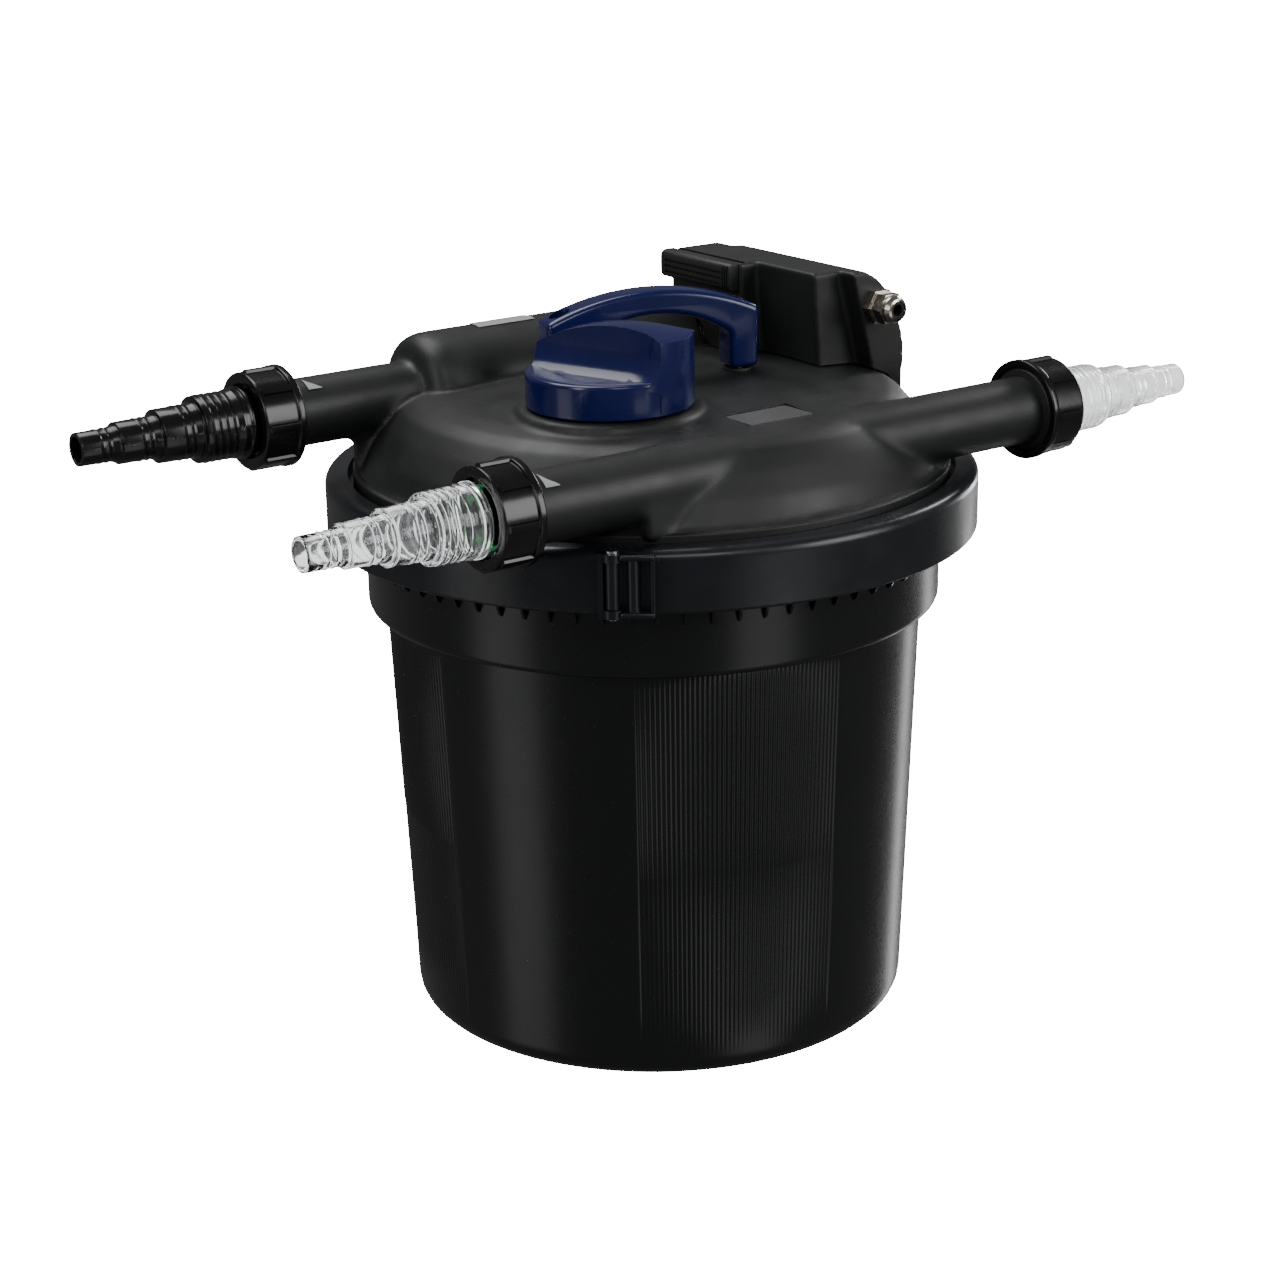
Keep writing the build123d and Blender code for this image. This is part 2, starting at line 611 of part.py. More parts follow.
with BuildPart() as lamp_socket:
    tube(head_axis, 88.1, 106, 14)
    block((104, 119.0), (inlet_y - 5, inlet_y + 5), (inlet_z - 5, inlet_z + 5))
finish(lamp_socket, "lamp_socket")

# ---------------------------------------------------------------- UV head
dome_clear = dome([(radius + head_clear, height + head_clear) for radius, height in dome_curve], 340)
gland_hole = Plane(origin=gland_at, x_dir=(1, 0, 0), z_dir=(0, -1, 0))


def long_block(inset, low, mode=Mode.ADD):
    """Long block of the head: sloping front face, rounded back, and a notch at its near front corner."""
    top = head_top - inset
    back = [(x - inset, z - inset) for x, z in head_back]
    section_plane = Plane(origin=(0, head_long_y[1] - inset, 0), x_dir=(1, 0, 0), z_dir=(0, -1, 0))
    with BuildPart(mode=Mode.PRIVATE) as body:
        with BuildSketch(section_plane) as section:
            with BuildLine():
                curve = Spline(*back, tangents=[(1, -0.15), (-0.2, -1)])
                Polyline(
                    curve @ 1, (back[-1][0], low), (head_front_x[0] + inset, low),
                    (head_front_x[1] + inset, top), curve @ 0
                )
            make_face()
        extrude(section.sketch, amount=head_long_y[1] - head_near_y - 2 * inset)
        block(
            (head_front_x[1] - 5, head_near_x + inset), (head_near_y - 5, head_long_y[0] + inset),
            (low - 1, head_top + 1), mode=Mode.SUBTRACT
        )
    add(body.part, mode=mode)


def far_block(inset, low, mode=Mode.ADD):
    block(
        (head_far_x[0] + inset, head_far_x[1]), (head_far_y[0] + inset, head_far_y[1] - inset),
        (low, head_top - inset), mode=mode
    )


def button_slot(plane_x, spread, depth, mode=Mode.ADD):
    with BuildSketch(Plane(origin=(plane_x, 0, 0), x_dir=(0, 1, 0), z_dir=(1, 0, 0))) as slot:
        with Locations(((button_y[0] + button_y[1]) / 2, (button_z[0] + button_z[1]) / 2)):
            RectangleRounded(
                button_y[1] - button_y[0] + 2 * spread, button_z[1] - button_z[0] + 2 * spread, 4.0 + spread
            )
    extrude(slot.sketch, amount=depth, mode=mode)


with BuildPart() as uv_head_housing:
    far_block(0, head_low)
    long_block(0, head_low)
    add(dome_clear, mode=Mode.SUBTRACT)
    tube(head_axis, head_far_x[0] - 1, head_far_x[1], head_collar_r)
    block((head_far_x[0] - 5, head_far_x[0]), (0, 130), (340, 440), mode=Mode.SUBTRACT)
    inside_low = dome_top + 3
    far_block(head_wall, inside_low, mode=Mode.SUBTRACT)
    long_block(head_wall, inside_low, mode=Mode.SUBTRACT)
    tube(
        head_axis, head_far_x[0] - 1, head_far_x[1] - head_wall, head_collar_r - head_wall,
        mode=Mode.SUBTRACT
    )
    button_slot(head_far_x[0] - 1, gap, head_wall + 2, mode=Mode.SUBTRACT)
    tube(gland_hole, -10, 10, 8, mode=Mode.SUBTRACT)
finish(uv_head_housing, "uv_head_housing")

with BuildPart() as ballast_board:
    block((107, 136), (-28, 44), (board_z, board_z + 1.6))
    block((109, 128), (-22, 8), (board_z + 1.6, board_z + 20))
    block((109, 122), (14, 26), (board_z + 1.6, board_z + 12))
    tube(upright(116, 35), board_z + 1.6, board_z + 22, 6)
finish(ballast_board, "ballast_board")

with BuildPart() as board_posts:
    for x, y in ((110, -25), (133, -25), (110, 41), (133, 41)):
        tube(upright(x, y), dome_top + 3, board_z, 2.2)
finish(board_posts, "board_posts")

with BuildPart() as release_button:
    button_slot(head_far_x[0] - button_proud, 0, button_proud + head_wall + 1)
    button_slot(head_far_x[0] + head_wall + 1, 1.5, 1.5)
    button_face = Plane(origin=(head_far_x[0] - button_proud, 0, 0), x_dir=(0, 1, 0), z_dir=(1, 0, 0))
    with BuildSketch(button_face) as grooves:
        with Locations(((button_y[0] + button_y[1]) / 2, (button_z[0] + button_z[1]) / 2)):
            with GridLocations(0, 3.0, 1, 4):
                Rectangle(button_y[1] - button_y[0] + 2, 1.0)
    extrude(grooves.sketch, amount=1.0, mode=Mode.SUBTRACT)
finish(release_button, "release_button")

with BuildPart() as gland_body:
    tube(gland_hole, -7, 1, 7.6)
    prism(gland_hole, 0.1, 6.0, 20)
    tube(gland_hole, 6, 14, 7.4)
    tube(gland_hole, -8, 15, 5.4, mode=Mode.SUBTRACT)
finish(gland_body, "gland_body")

with BuildPart() as gland_nut:
    prism(gland_hole, 6.4, 15.0, 18)
    turned(gland_hole, (0, 15), (8.8, 15), (8.6, 18), (7.0, 20.5), (5.6, 21), (0, 21))
    tube(gland_hole, 6, 14.4, 7.8, mode=Mode.SUBTRACT)
    tube(gland_hole, 14, 22, 5.6, mode=Mode.SUBTRACT)
finish(gland_nut, "gland_nut")

with BuildPart() as gland_insert:
    tube(gland_hole, 4, 20.4, 5.2, cable_r)
finish(gland_insert, "gland_insert")
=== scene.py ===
import json
import math

import bmesh
import bpy
import numpy as np
from mathutils import Matrix, Vector


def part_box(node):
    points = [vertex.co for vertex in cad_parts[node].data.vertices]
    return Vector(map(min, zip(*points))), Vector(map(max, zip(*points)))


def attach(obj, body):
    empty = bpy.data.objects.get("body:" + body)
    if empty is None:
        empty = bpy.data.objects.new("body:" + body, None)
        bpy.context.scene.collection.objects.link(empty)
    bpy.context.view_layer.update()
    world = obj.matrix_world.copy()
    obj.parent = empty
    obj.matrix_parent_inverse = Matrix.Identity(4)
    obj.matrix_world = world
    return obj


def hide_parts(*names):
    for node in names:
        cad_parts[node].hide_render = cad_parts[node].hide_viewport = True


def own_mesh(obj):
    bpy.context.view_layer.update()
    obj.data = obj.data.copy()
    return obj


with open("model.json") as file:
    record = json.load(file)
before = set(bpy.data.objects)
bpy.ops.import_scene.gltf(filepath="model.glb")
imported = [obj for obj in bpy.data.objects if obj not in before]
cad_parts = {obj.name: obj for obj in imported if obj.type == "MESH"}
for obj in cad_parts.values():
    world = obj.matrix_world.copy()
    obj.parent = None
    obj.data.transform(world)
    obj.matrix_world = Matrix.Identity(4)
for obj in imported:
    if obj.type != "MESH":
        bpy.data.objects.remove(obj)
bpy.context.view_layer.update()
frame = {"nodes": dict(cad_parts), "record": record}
nodes = frame["nodes"]
MM = 0.001

# ---------------------------------------------------------------- camera
CAMERA_AZIMUTH = math.radians(-35.4)
CAMERA_ELEVATION = math.radians(18.1)
CAMERA_ROLL = math.radians(-1.0)
CAMERA_DISTANCE = 1.757
CAMERA_LENS = 78.75
LOOK_AT_HEIGHT = 0.226
LOOK_AT_SIDE = -0.0089


def make_camera():
    azimuth, elevation = CAMERA_AZIMUTH, CAMERA_ELEVATION
    level = math.cos(elevation)
    back = Vector((math.sin(azimuth) * level, -math.cos(azimuth) * level, math.sin(elevation)))
    right = Vector((math.cos(azimuth), math.sin(azimuth), 0))
    up = back.cross(right)
    rolled_right = math.cos(CAMERA_ROLL) * right + math.sin(CAMERA_ROLL) * up
    rolled_up = math.cos(CAMERA_ROLL) * up - math.sin(CAMERA_ROLL) * right
    place = right * LOOK_AT_SIDE + Vector((0, 0, LOOK_AT_HEIGHT)) + back * CAMERA_DISTANCE
    data = bpy.data.cameras.new("camera")
    data.lens = CAMERA_LENS
    data.sensor_width = 36
    camera = bpy.data.objects.new("camera", data)
    bpy.context.collection.objects.link(camera)
    turn = Matrix((rolled_right, rolled_up, back)).transposed().to_4x4()
    camera.matrix_world = Matrix.Translation(place) @ turn
    bpy.context.scene.camera = camera


make_camera()

# ---------------------------------------------------------------- materials


def new_material(name):
    material = bpy.data.materials.new(name)
    material.use_nodes = True
    tree = material.node_tree
    return material, tree, tree.nodes["Principled BSDF"]


def place_texture(tree, scale):
    """Object coordinates in metres, scaled: no window or camera coordinates."""
    coordinates = tree.nodes.new("ShaderNodeTexCoord")
    mapping = tree.nodes.new("ShaderNodeMapping")
    mapping.inputs["Scale"].default_value = (scale, scale, scale)
    tree.links.new(coordinates.outputs["Object"], mapping.inputs["Vector"])
    return mapping.outputs["Vector"]


def noise(tree, vector, scale, detail=4.0):
    node = tree.nodes.new("ShaderNodeTexNoise")
    node.inputs["Scale"].default_value = scale
    node.inputs["Detail"].default_value = detail
    tree.links.new(vector, node.inputs["Vector"])
    return node.outputs["Fac"]


def ramp(tree, value, low, high):
    node = tree.nodes.new("ShaderNodeMapRange")
    node.inputs["To Min"].default_value = low
    node.inputs["To Max"].default_value = high
    node.inputs["From Min"].default_value = 0.3
    node.inputs["From Max"].default_value = 0.7
    tree.links.new(value, node.inputs["Value"])
    return node.outputs["Result"]


def two_tone(tree, value, first, second):
    node = tree.nodes.new("ShaderNodeMix")
    node.data_type = "RGBA"
    node.inputs["A"].default_value = (*first, 1)
    node.inputs["B"].default_value = (*second, 1)
    tree.links.new(value, node.inputs["Factor"])
    return node.outputs["Result"]


def bump(tree, shader, value, strength, depth):
    node = tree.nodes.new("ShaderNodeBump")
    node.inputs["Strength"].default_value = strength
    node.inputs["Distance"].default_value = depth
    tree.links.new(value, node.inputs["Height"])
    tree.links.new(node.outputs["Normal"], shader.inputs["Normal"])


def moulded(name, colour, roughness, spread=0.05, grain=900.0, grain_depth=0.00004, lift=1.6, coat=0.0):
    """Moulded plastic: fine spark-eroded grain, cloudy gloss and a faint shift of colour."""
    material, tree, shader = new_material(name)
    vector = place_texture(tree, 1.0)
    clouds = noise(tree, vector, 14.0)
    paler = tuple(channel * lift for channel in colour)
    tree.links.new(two_tone(tree, clouds, colour, paler), shader.inputs["Base Color"])
    smears = noise(tree, vector, 45.0, 6.0)
    tree.links.new(ramp(tree, smears, roughness - spread, roughness + spread), shader.inputs["Roughness"])
    shader.inputs["Specular IOR Level"].default_value = 0.5
    shader.inputs["Coat Weight"].default_value = coat
    shader.inputs["Coat Roughness"].default_value = 0.08
    bump(tree, shader, noise(tree, vector, grain, 3.0), 0.35, grain_depth)
    return material


def clear(name, colour, roughness, ior):
    """Clear moulded plastic or glass, with faint flow lines."""
    material, tree, shader = new_material(name)
    vector = place_texture(tree, 1.0)
    shader.inputs["Base Color"].default_value = (*colour, 1)
    shader.inputs["Transmission Weight"].default_value = 1.0
    shader.inputs["IOR"].default_value = ior
    flow = noise(tree, vector, 120.0, 3.0)
    tree.links.new(ramp(tree, flow, roughness, roughness + 0.06), shader.inputs["Roughness"])
    bump(tree, shader, noise(tree, vector, 90.0, 2.0), 0.3, 0.0002)
    return material


def metal(name, colour, roughness):
    material, tree, shader = new_material(name)
    vector = place_texture(tree, 1.0)
    shader.inputs["Metallic"].default_value = 1.0
    tint = noise(tree, vector, 60.0)
    darker = tuple(channel * 0.8 for channel in colour)
    tree.links.new(two_tone(tree, tint, colour, darker), shader.inputs["Base Color"])
    scuffs = noise(tree, vector, 400.0, 5.0)
    tree.links.new(ramp(tree, scuffs, roughness - 0.06, roughness + 0.08), shader.inputs["Roughness"])
    bump(tree, shader, scuffs, 0.15, 0.00005)
    return material


def foam_material(name, colour):
    """Open-cell foam: a cell pattern that opens pores, with painted shade darkening each cell towards its
    centre.
    """
    material, tree, shader = new_material(name)
    vector = place_texture(tree, 1.0)
    cells = tree.nodes.new("ShaderNodeTexVoronoi")
    cells.inputs["Scale"].default_value = 420.0
    tree.links.new(vector, cells.inputs["Vector"])
    # painted shade in the pores: a quarter of the foam's colour at each cell's centre, full colour at its
    # edges
    pore_shade = tuple(channel * 0.25 for channel in colour)
    tree.links.new(two_tone(tree, cells.outputs["Distance"], pore_shade, colour), shader.inputs["Base Color"])
    shader.inputs["Roughness"].default_value = 0.95
    shader.inputs["Sheen Weight"].default_value = 0.3
    bump(tree, shader, cells.outputs["Distance"], 0.8, 0.0012)
    return material


material_of = {
    "drum_plastic": moulded("drum_plastic", (0.0036, 0.004, 0.0045), 0.27, spread=0.015),
    "ring_plastic": moulded("ring_plastic", (0.006, 0.007, 0.0095), 0.31),
    "lid_plastic": moulded("lid_plastic", (0.008, 0.0087, 0.0088), 0.47),
    "gloss_black_plastic": moulded(
        "gloss_black_plastic", (0.0036, 0.0036, 0.0038), 0.2, spread=0.03, grain=300.0
    ),
    "blue_plastic": moulded(
        "blue_plastic", (0.0036, 0.0068, 0.07), 0.21, spread=0.03, grain=260.0, lift=1.15, coat=0.15
    ),
    "clear_plastic": clear("clear_plastic", (0.97, 0.98, 0.99), 0.03, 1.46),
    "frosted_plastic": clear("frosted_plastic", (0.93, 0.94, 0.95), 0.16, 1.42),
    "inner_plastic": moulded("inner_plastic", (0.02, 0.021, 0.023), 0.5),
    "label_plastic": moulded("label_plastic", (0.08, 0.08, 0.083), 0.3, grain=1500.0),
    "stainless_steel": metal("stainless_steel", (0.6, 0.6, 0.61), 0.28),
    "nickel": metal("nickel", (0.66, 0.61, 0.53), 0.2),
    "black_rubber": moulded("black_rubber", (0.008, 0.008, 0.008), 0.7),
    "green_rubber": moulded("green_rubber", (0.01, 0.22, 0.07), 0.5, lift=1.3),
    "blue_foam": foam_material("blue_foam", (0.03, 0.07, 0.22)),
    "quartz_glass": clear("quartz_glass", (0.95, 0.97, 1.0), 0.02, 1.46),
    "socket_ceramic": moulded("socket_ceramic", (0.62, 0.6, 0.55), 0.5, lift=1.05),
    "board_resin": moulded("board_resin", (0.01, 0.1, 0.035), 0.4),
}
sticker_paper = moulded("sticker_paper", (0.36, 0.37, 0.38), 0.4, grain=700.0, lift=1.1)
slot_of = {entry["node"]: entry["material_slot"] for entry in frame["record"]["subparts"]}
behaviour = frame["record"]["behaviour"]
body_of = {node: body for body, members in behaviour["bodies"].items() for node in members}

for name, node in nodes.items():
    node.data.materials.clear()
    node.data.materials.append(material_of[slot_of[name]])


# ---------------------------------------------------------------- mesh helpers
def finish_piece(piece, node, sharp=30.0, material=None):
    """Give a piece its shading, the material of its CAD node's slot, and that node's body."""
    piece.data.shade_smooth()
    piece.data.set_sharp_from_angle(angle=math.radians(sharp))
    piece.data.materials.clear()
    piece.data.materials.append(material or material_of[slot_of[node]])
    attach(piece, body_of[node])
    return piece


def stand_for(piece, node, sharp=30.0):
    finish_piece(piece, node, sharp)
    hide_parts(node)
    return piece


def mesh_object(name, points, faces):
    mesh = bpy.data.meshes.new(name)
    mesh.from_pydata([tuple(point) for point in points], [], [tuple(face) for face in faces])
    mesh.update()
    thing = bpy.data.objects.new(name, mesh)
    bpy.context.collection.objects.link(thing)
    return thing


def tidy_mesh(thing, merge=1e-6):
    work = bmesh.new()
    work.from_mesh(thing.data)
    bmesh.ops.remove_doubles(work, verts=work.verts, dist=merge)
    bmesh.ops.dissolve_degenerate(work, edges=work.edges, dist=merge)
    bmesh.ops.recalc_face_normals(work, faces=work.faces)
    work.to_mesh(thing.data)
    work.free()
    return thing


def rounded(outline, steps=5):
    """Outline points (a, b, corner radius) in mm, with each corner replaced by an arc."""
    result = []
    count = len(outline)
    for index, (a, b, radius) in enumerate(outline):
        here = np.array((a, b), float)
        if radius <= 0:
            result.append(here)
            continue
        before = np.array(outline[index - 1][:2], float) - here
        after = np.array(outline[(index + 1) % count][:2], float) - here
        before_length, after_length = np.linalg.norm(before), np.linalg.norm(after)
        before, after = before / before_length, after / after_length
        half = math.acos(max(-1.0, min(1.0, float(before @ after)))) / 2
        reach = min(radius / math.tan(half), 0.49 * before_length, 0.49 * after_length)
        for step in range(steps + 1):
            t = step / steps
            enter, leave = here + before * reach, here + after * reach
            result.append((1 - t) ** 2 * enter + 2 * t * (1 - t) * here + t ** 2 * leave)
    return result


def axis_matrix(place, direction):
    """Places a local z axis along direction at place (mm)."""
    turn = Vector(direction).to_track_quat("Z", "Y").to_matrix().to_4x4()
    return Matrix.Translation(Vector(place)) @ turn


def lathe(name, outline, matrix=None, steps=128, angles=None, change=None):
    """Closed outline of (radius, height) in mm turned round z; change(radius, height, angle) reshapes it."""
    if angles is None:
        angles = np.linspace(0, 2 * math.pi, steps, endpoint=False)
    count = len(outline)
    points = []
    for angle in angles:
        for radius, height in outline:
            if change:
                radius, height = change(radius, height, angle)
            points.append((radius * math.cos(angle), radius * math.sin(angle), height))
    faces = []
    turns = len(angles)
    for turn in range(turns):
        following = (turn + 1) % turns
        here, there = turn * count, following * count
        for index in range(count):
            after = (index + 1) % count
            faces.append((here + index, there + index, there + after, here + after))
    matrix = matrix or Matrix.Identity(4)
    placed = [(matrix @ Vector(point)) * MM for point in points]
    return tidy_mesh(mesh_object(name, placed, faces))


def prism(name, outline, low, high, matrix=None, taper=None):
    """Plan outline (mm) pulled up from low to high; taper(x, y) gives the plan of the top."""
    matrix = matrix or Matrix.Identity(4)
    count = len(outline)
    top = [taper(x, y) for x, y in outline] if taper else outline
    points = [(x, y, low) for x, y in outline] + [(x, y, high) for x, y in top]
    faces = [tuple(range(count))[::-1], tuple(range(count, 2 * count))]
    faces += [(i, (i + 1) % count, count + (i + 1) % count, count + i) for i in range(count)]
    placed = [(matrix @ Vector(point)) * MM for point in points]
    return tidy_mesh(mesh_object(name, placed, faces))


def box_piece(name, x, y, z):
    return prism(name, [(x[0], y[0]), (x[1], y[0]), (x[1], y[1]), (x[0], y[1])], *z)


def apply_modifiers(thing):
    bpy.context.view_layer.update()
    graph = bpy.context.evaluated_depsgraph_get()
    mesh = bpy.data.meshes.new_from_object(thing.evaluated_get(graph))
    thing.modifiers.clear()
    thing.data = mesh
    return thing


def cut(thing, *others, operation="DIFFERENCE"):
    """Boolean with each other object in turn; the others are used up."""
    for other in others:
        modifier = thing.modifiers.new("cut", "BOOLEAN")
        modifier.operation = operation
        modifier.solver = "EXACT"
        modifier.object = other
        apply_modifiers(thing)
        bpy.data.objects.remove(other)
    return thing


def soften(thing, width, segments=3, angle=30.0):
    modifier = thing.modifiers.new("soften", "BEVEL")
    modifier.width = width * MM
    modifier.segments = segments
    modifier.limit_method = "ANGLE"
    modifier.angle_limit = math.radians(angle)
    modifier.miter_outer = "MITER_ARC"
    modifier.use_clamp_overlap = True
    return apply_modifiers(thing)


def melt(name, things, voxel, rounds, factor=0.5):
    """Join closed shapes into one skin and let it flow together at the joins."""
    work = bmesh.new()
    for thing in things:
        work.from_mesh(thing.data)
        bpy.data.objects.remove(thing)
    mesh = bpy.data.meshes.new(name)
    work.to_mesh(mesh)
    work.free()
    skin = bpy.data.objects.new(name, mesh)
    bpy.context.collection.objects.link(skin)
    remesh = skin.modifiers.new("melt", "REMESH")
    remesh.mode = "VOXEL"
    remesh.voxel_size = voxel * MM
    smooth = skin.modifiers.new("flow", "SMOOTH")
    smooth.factor = factor
    smooth.iterations = rounds
    return apply_modifiers(skin)


# ---------------------------------------------------------------- sizes read from the frame (mm)
def node_box(node):
    low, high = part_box(node)
    return [value / MM for value in low], [value / MM for value in high]


# ---------------------------------------------------------------- drum
FOOT_R, TOP_R, COLLAR_R = 155.2, 165.8, 176.8
COLLAR_Z, COLLAR_FLOOR_Z = 259.4, 263
FLANGE_Z = (312, 322)
WALL, WALL_NEAR = 3.5, 0.8        # thickness; how near the wall's line a point counts as on it
RIB_PITCH = math.radians(1.0)
RIB_DEPTH = 0.55
PANEL = math.radians(45.0)
FIRST_RIBBED = math.radians(-130.0)
PANEL_STEP_Z, PANEL_STEP = 131.0, 0.35
RIB_FOOT_Z, RIB_FADE = 14, 32
LOW_RIB_SHARE = 0.62              # ribs are shallower below the step
LONG_RISE = 100                   # only the outer wall rises further than this in one go
WALL_MARKS = [RIB_FOOT_Z, 20, 30, 46, 90, PANEL_STEP_Z - 0.5, PANEL_STEP_Z + 0.5, 170, 210, 250]
PANELS, RIBBED_COLUMNS, SMOOTH_COLUMNS = 8, 270, 45


def rib_strength(angle):
    """1 inside a ribbed panel, 0 in a smooth one, with a short ramp at the panel's edge."""
    turn = (angle - FIRST_RIBBED) % (2 * PANEL)
    inside = min(turn, PANEL - turn)
    return max(0.0, min(1.0, inside / (RIB_PITCH * 0.25)))


def drum_change(radius, height, angle):
    """Cuts the ribs and the step into the outer wall of the ribbed panels."""
    wall_r = FOOT_R + (TOP_R - FOOT_R) * height / COLLAR_Z
    on_wall = abs(radius - wall_r) <= WALL_NEAR
    if not on_wall or not RIB_FOOT_Z < height < COLLAR_Z - 1:
        return radius, height
    strength = rib_strength(angle)
    if strength <= 0:
        return radius, height
    wave = 0.5 - 0.5 * math.cos(2 * math.pi * (angle - FIRST_RIBBED) / RIB_PITCH)
    fade = min(1.0, max(0.0, (height - RIB_FOOT_Z) / RIB_FADE))
    step = PANEL_STEP if height < PANEL_STEP_Z else 0.0
    depth = RIB_DEPTH * (LOW_RIB_SHARE if height < PANEL_STEP_Z else 1.0)
    return radius - strength * fade * (depth * wave + step), height


def make_drum():
    """Turned shell with extra heights on its wall, so that the ribs can fade and step."""
    inner = COLLAR_R - 4.0
    flange_r = node_box("drum")[1][0]
    flange_low, flange_high = FLANGE_Z
    corner = rounded([
        (0, 0, 0), (FOOT_R, 0, 12), (TOP_R, COLLAR_Z, 0.8), (COLLAR_R, COLLAR_Z, 5.5),
        (COLLAR_R, flange_low, 0.5), (flange_r, flange_low, 0.5), (flange_r, flange_high, 0.5),
        (inner, flange_high, 0.5), (inner, COLLAR_FLOOR_Z, 2), (TOP_R - WALL, COLLAR_FLOOR_Z, 1),
        (FOOT_R - WALL, WALL, 8), (0, WALL, 0),
    ])
    outline = []
    for first, second in zip(corner, corner[1:] + corner[:1]):
        outline.append(first)
        rise = second[1] - first[1]
        if rise > LONG_RISE:
            for mark in WALL_MARKS:
                if first[1] < mark < second[1]:
                    outline.append(first + (second - first) * (mark - first[1]) / rise)
    angles = []
    for panel in range(PANELS):
        start = FIRST_RIBBED + panel * PANEL
        parts = RIBBED_COLUMNS if panel % 2 == 0 else SMOOTH_COLUMNS
        angles += [start + PANEL * part / parts for part in range(parts)]
    drum = lathe("drum_shell", outline, angles=angles, change=drum_change)
    stand_for(drum, "drum", sharp=40)


GUSSETS, GUSSET_HALF = 72, 0.8
# how far each corner stands proud of the collar, and its height
GUSSET = [(-1, 311.5), (6.0, 311.5), (4.6, 299.0), (2.6, 294.0), (-1, 291.0)]


def make_drum_gussets():
    """Small gussets between the collar and the ring, all the way round."""
    points, faces = [], []
    corners = len(GUSSET)
    for gusset in range(GUSSETS):
        angle = math.radians(gusset * 360.0 / GUSSETS)
        out = Vector((math.cos(angle), math.sin(angle), 0))
        along = Vector((-math.sin(angle), math.cos(angle), 0))
        near = len(points)
        far = near + corners
        for side in (-GUSSET_HALF, GUSSET_HALF):
            for proud, height in GUSSET:
                points.append((out * (COLLAR_R + proud) + along * side + Vector((0, 0, height))) * MM)
        faces.append(tuple(near + i for i in range(corners)))
        faces.append(tuple(far + i for i in reversed(range(corners))))
        for i in range(corners):
            after = (i + 1) % corners
            faces.append((near + i, near + after, far + after, far + i))
    finish_piece(tidy_mesh(mesh_object("drum_gussets", points, faces)), "drum")


# ---------------------------------------------------------------- lid
OUTLET_Y, OUTLET_Z = -131.0, 370.0
INLET_Y, INLET_Z = 88.0, 386.0
PIPE_R, THREAD_R, UV_R, TROUGH_R = 20.5, 25.6, 36.0, 38.2
OUTLET_END, INLET_END = 200.0, 221.7
FRONT_WALL = (OUTLET_Y - 20.2, OUTLET_Y + 16)
UV_X = (-119.0, 84.0)
KNOB_AT = (-65.0, -50.0)
# the dome's outside and inside, from its axis out (radius, z)
DOME = [
    (0, 394), (40, 394), (70, 394), (100, 393), (130, 391), (145, 388), (153, 384), (162, 374), (172, 360),
    (180, 343),
]
DOME_INSIDE = [
    (0, 390), (70, 390), (100, 389), (129, 387), (142, 384.3), (150, 381), (158.5, 371.8), (168, 358.5),
    (176, 343),
]
LID_FOOT_Z, LID_WALL_R = 335.0, 181.5
PIPE_BORE_R, UV_BORE_R = 16, 31.5
X_AXIS, BACK_ALONG_X, UPRIGHT = (1, 0, 0), (-1, 0, 0), (0, 0, 1)
# each pipe's open end, and the way its bore runs from there
PIPE_STARTS = {
    "outlet_left": ((-OUTLET_END, OUTLET_Y, OUTLET_Z), X_AXIS),
    "outlet_right": ((OUTLET_END, OUTLET_Y, OUTLET_Z), BACK_ALONG_X),
    "inlet": ((-INLET_END, INLET_Y, INLET_Z), X_AXIS),
}


def dome_solid(name, curve, low):
    return lathe(name, curve + [(curve[-1][0], low), (0, low)], steps=160)


def rod(name, place, direction, length, radius, nose=0.0, steps=96):
    outline = rounded([(0, 0, 0), (radius, 0, nose), (radius, length, 0), (0, length, 0)], steps=8)
    return lathe(name, outline, axis_matrix(place, direction), steps)


def uv_rod(name, start_x, length, radius, nose=0.0, steps=96):
    """Cylinder along the inlet pipe's axis."""
    return rod(name, (start_x, INLET_Y, INLET_Z), X_AXIS, length, radius, nose, steps)


def outlet_rod(name, start_x, length, radius):
    """Cylinder along the outlet pipe's axis."""
    return rod(name, (start_x, OUTLET_Y, OUTLET_Z), X_AXIS, length, radius)


def lid_webs():
    """Walls that stand on the lid's rim under the pipes and the UV chamber."""
    low = LID_FOOT_Z
    webs = [
        box_piece("web_a", (-126, -20), FRONT_WALL, (low, OUTLET_Z)),
        box_piece("web_b", (60, 140), (OUTLET_Y - 10, OUTLET_Y + 12), (low, OUTLET_Z)),
        box_piece("web_c", (-182, UV_X[0] + 30), (INLET_Y - 12, INLET_Y + 12), (low, INLET_Z)),
        box_piece("web_d", (UV_X[0] + 18, UV_X[1] - 1), (INLET_Y - 29, INLET_Y + 29), (low, INLET_Z)),
    ]
    for web in webs:
        within = [(0, low - 9), (LID_WALL_R, low - 9), (LID_WALL_R, 430), (0, 430)]
        cut(web, lathe("inside", within, steps=200), operation="INTERSECT")
    webs.append(box_piece("front_wall", (-111, -20), FRONT_WALL, (343.6, OUTLET_Z)))
    return webs


def lid_cavity():
    """Space inside the lid, which leaves the chamber, the trough and the outlet pipe whole."""
    cavity = dome_solid("cavity", DOME_INSIDE, LID_FOOT_Z - 20)
    return cut(
        cavity,
        uv_rod("keep_chamber", UV_X[0] - 1, UV_X[1] - UV_X[0] + 2, UV_R),
        uv_rod("keep_trough", UV_X[1] - 1, 140, TROUGH_R + 3.3),
        outlet_rod("keep_outlet", -OUTLET_END, 2 * OUTLET_END, PIPE_R),
    )


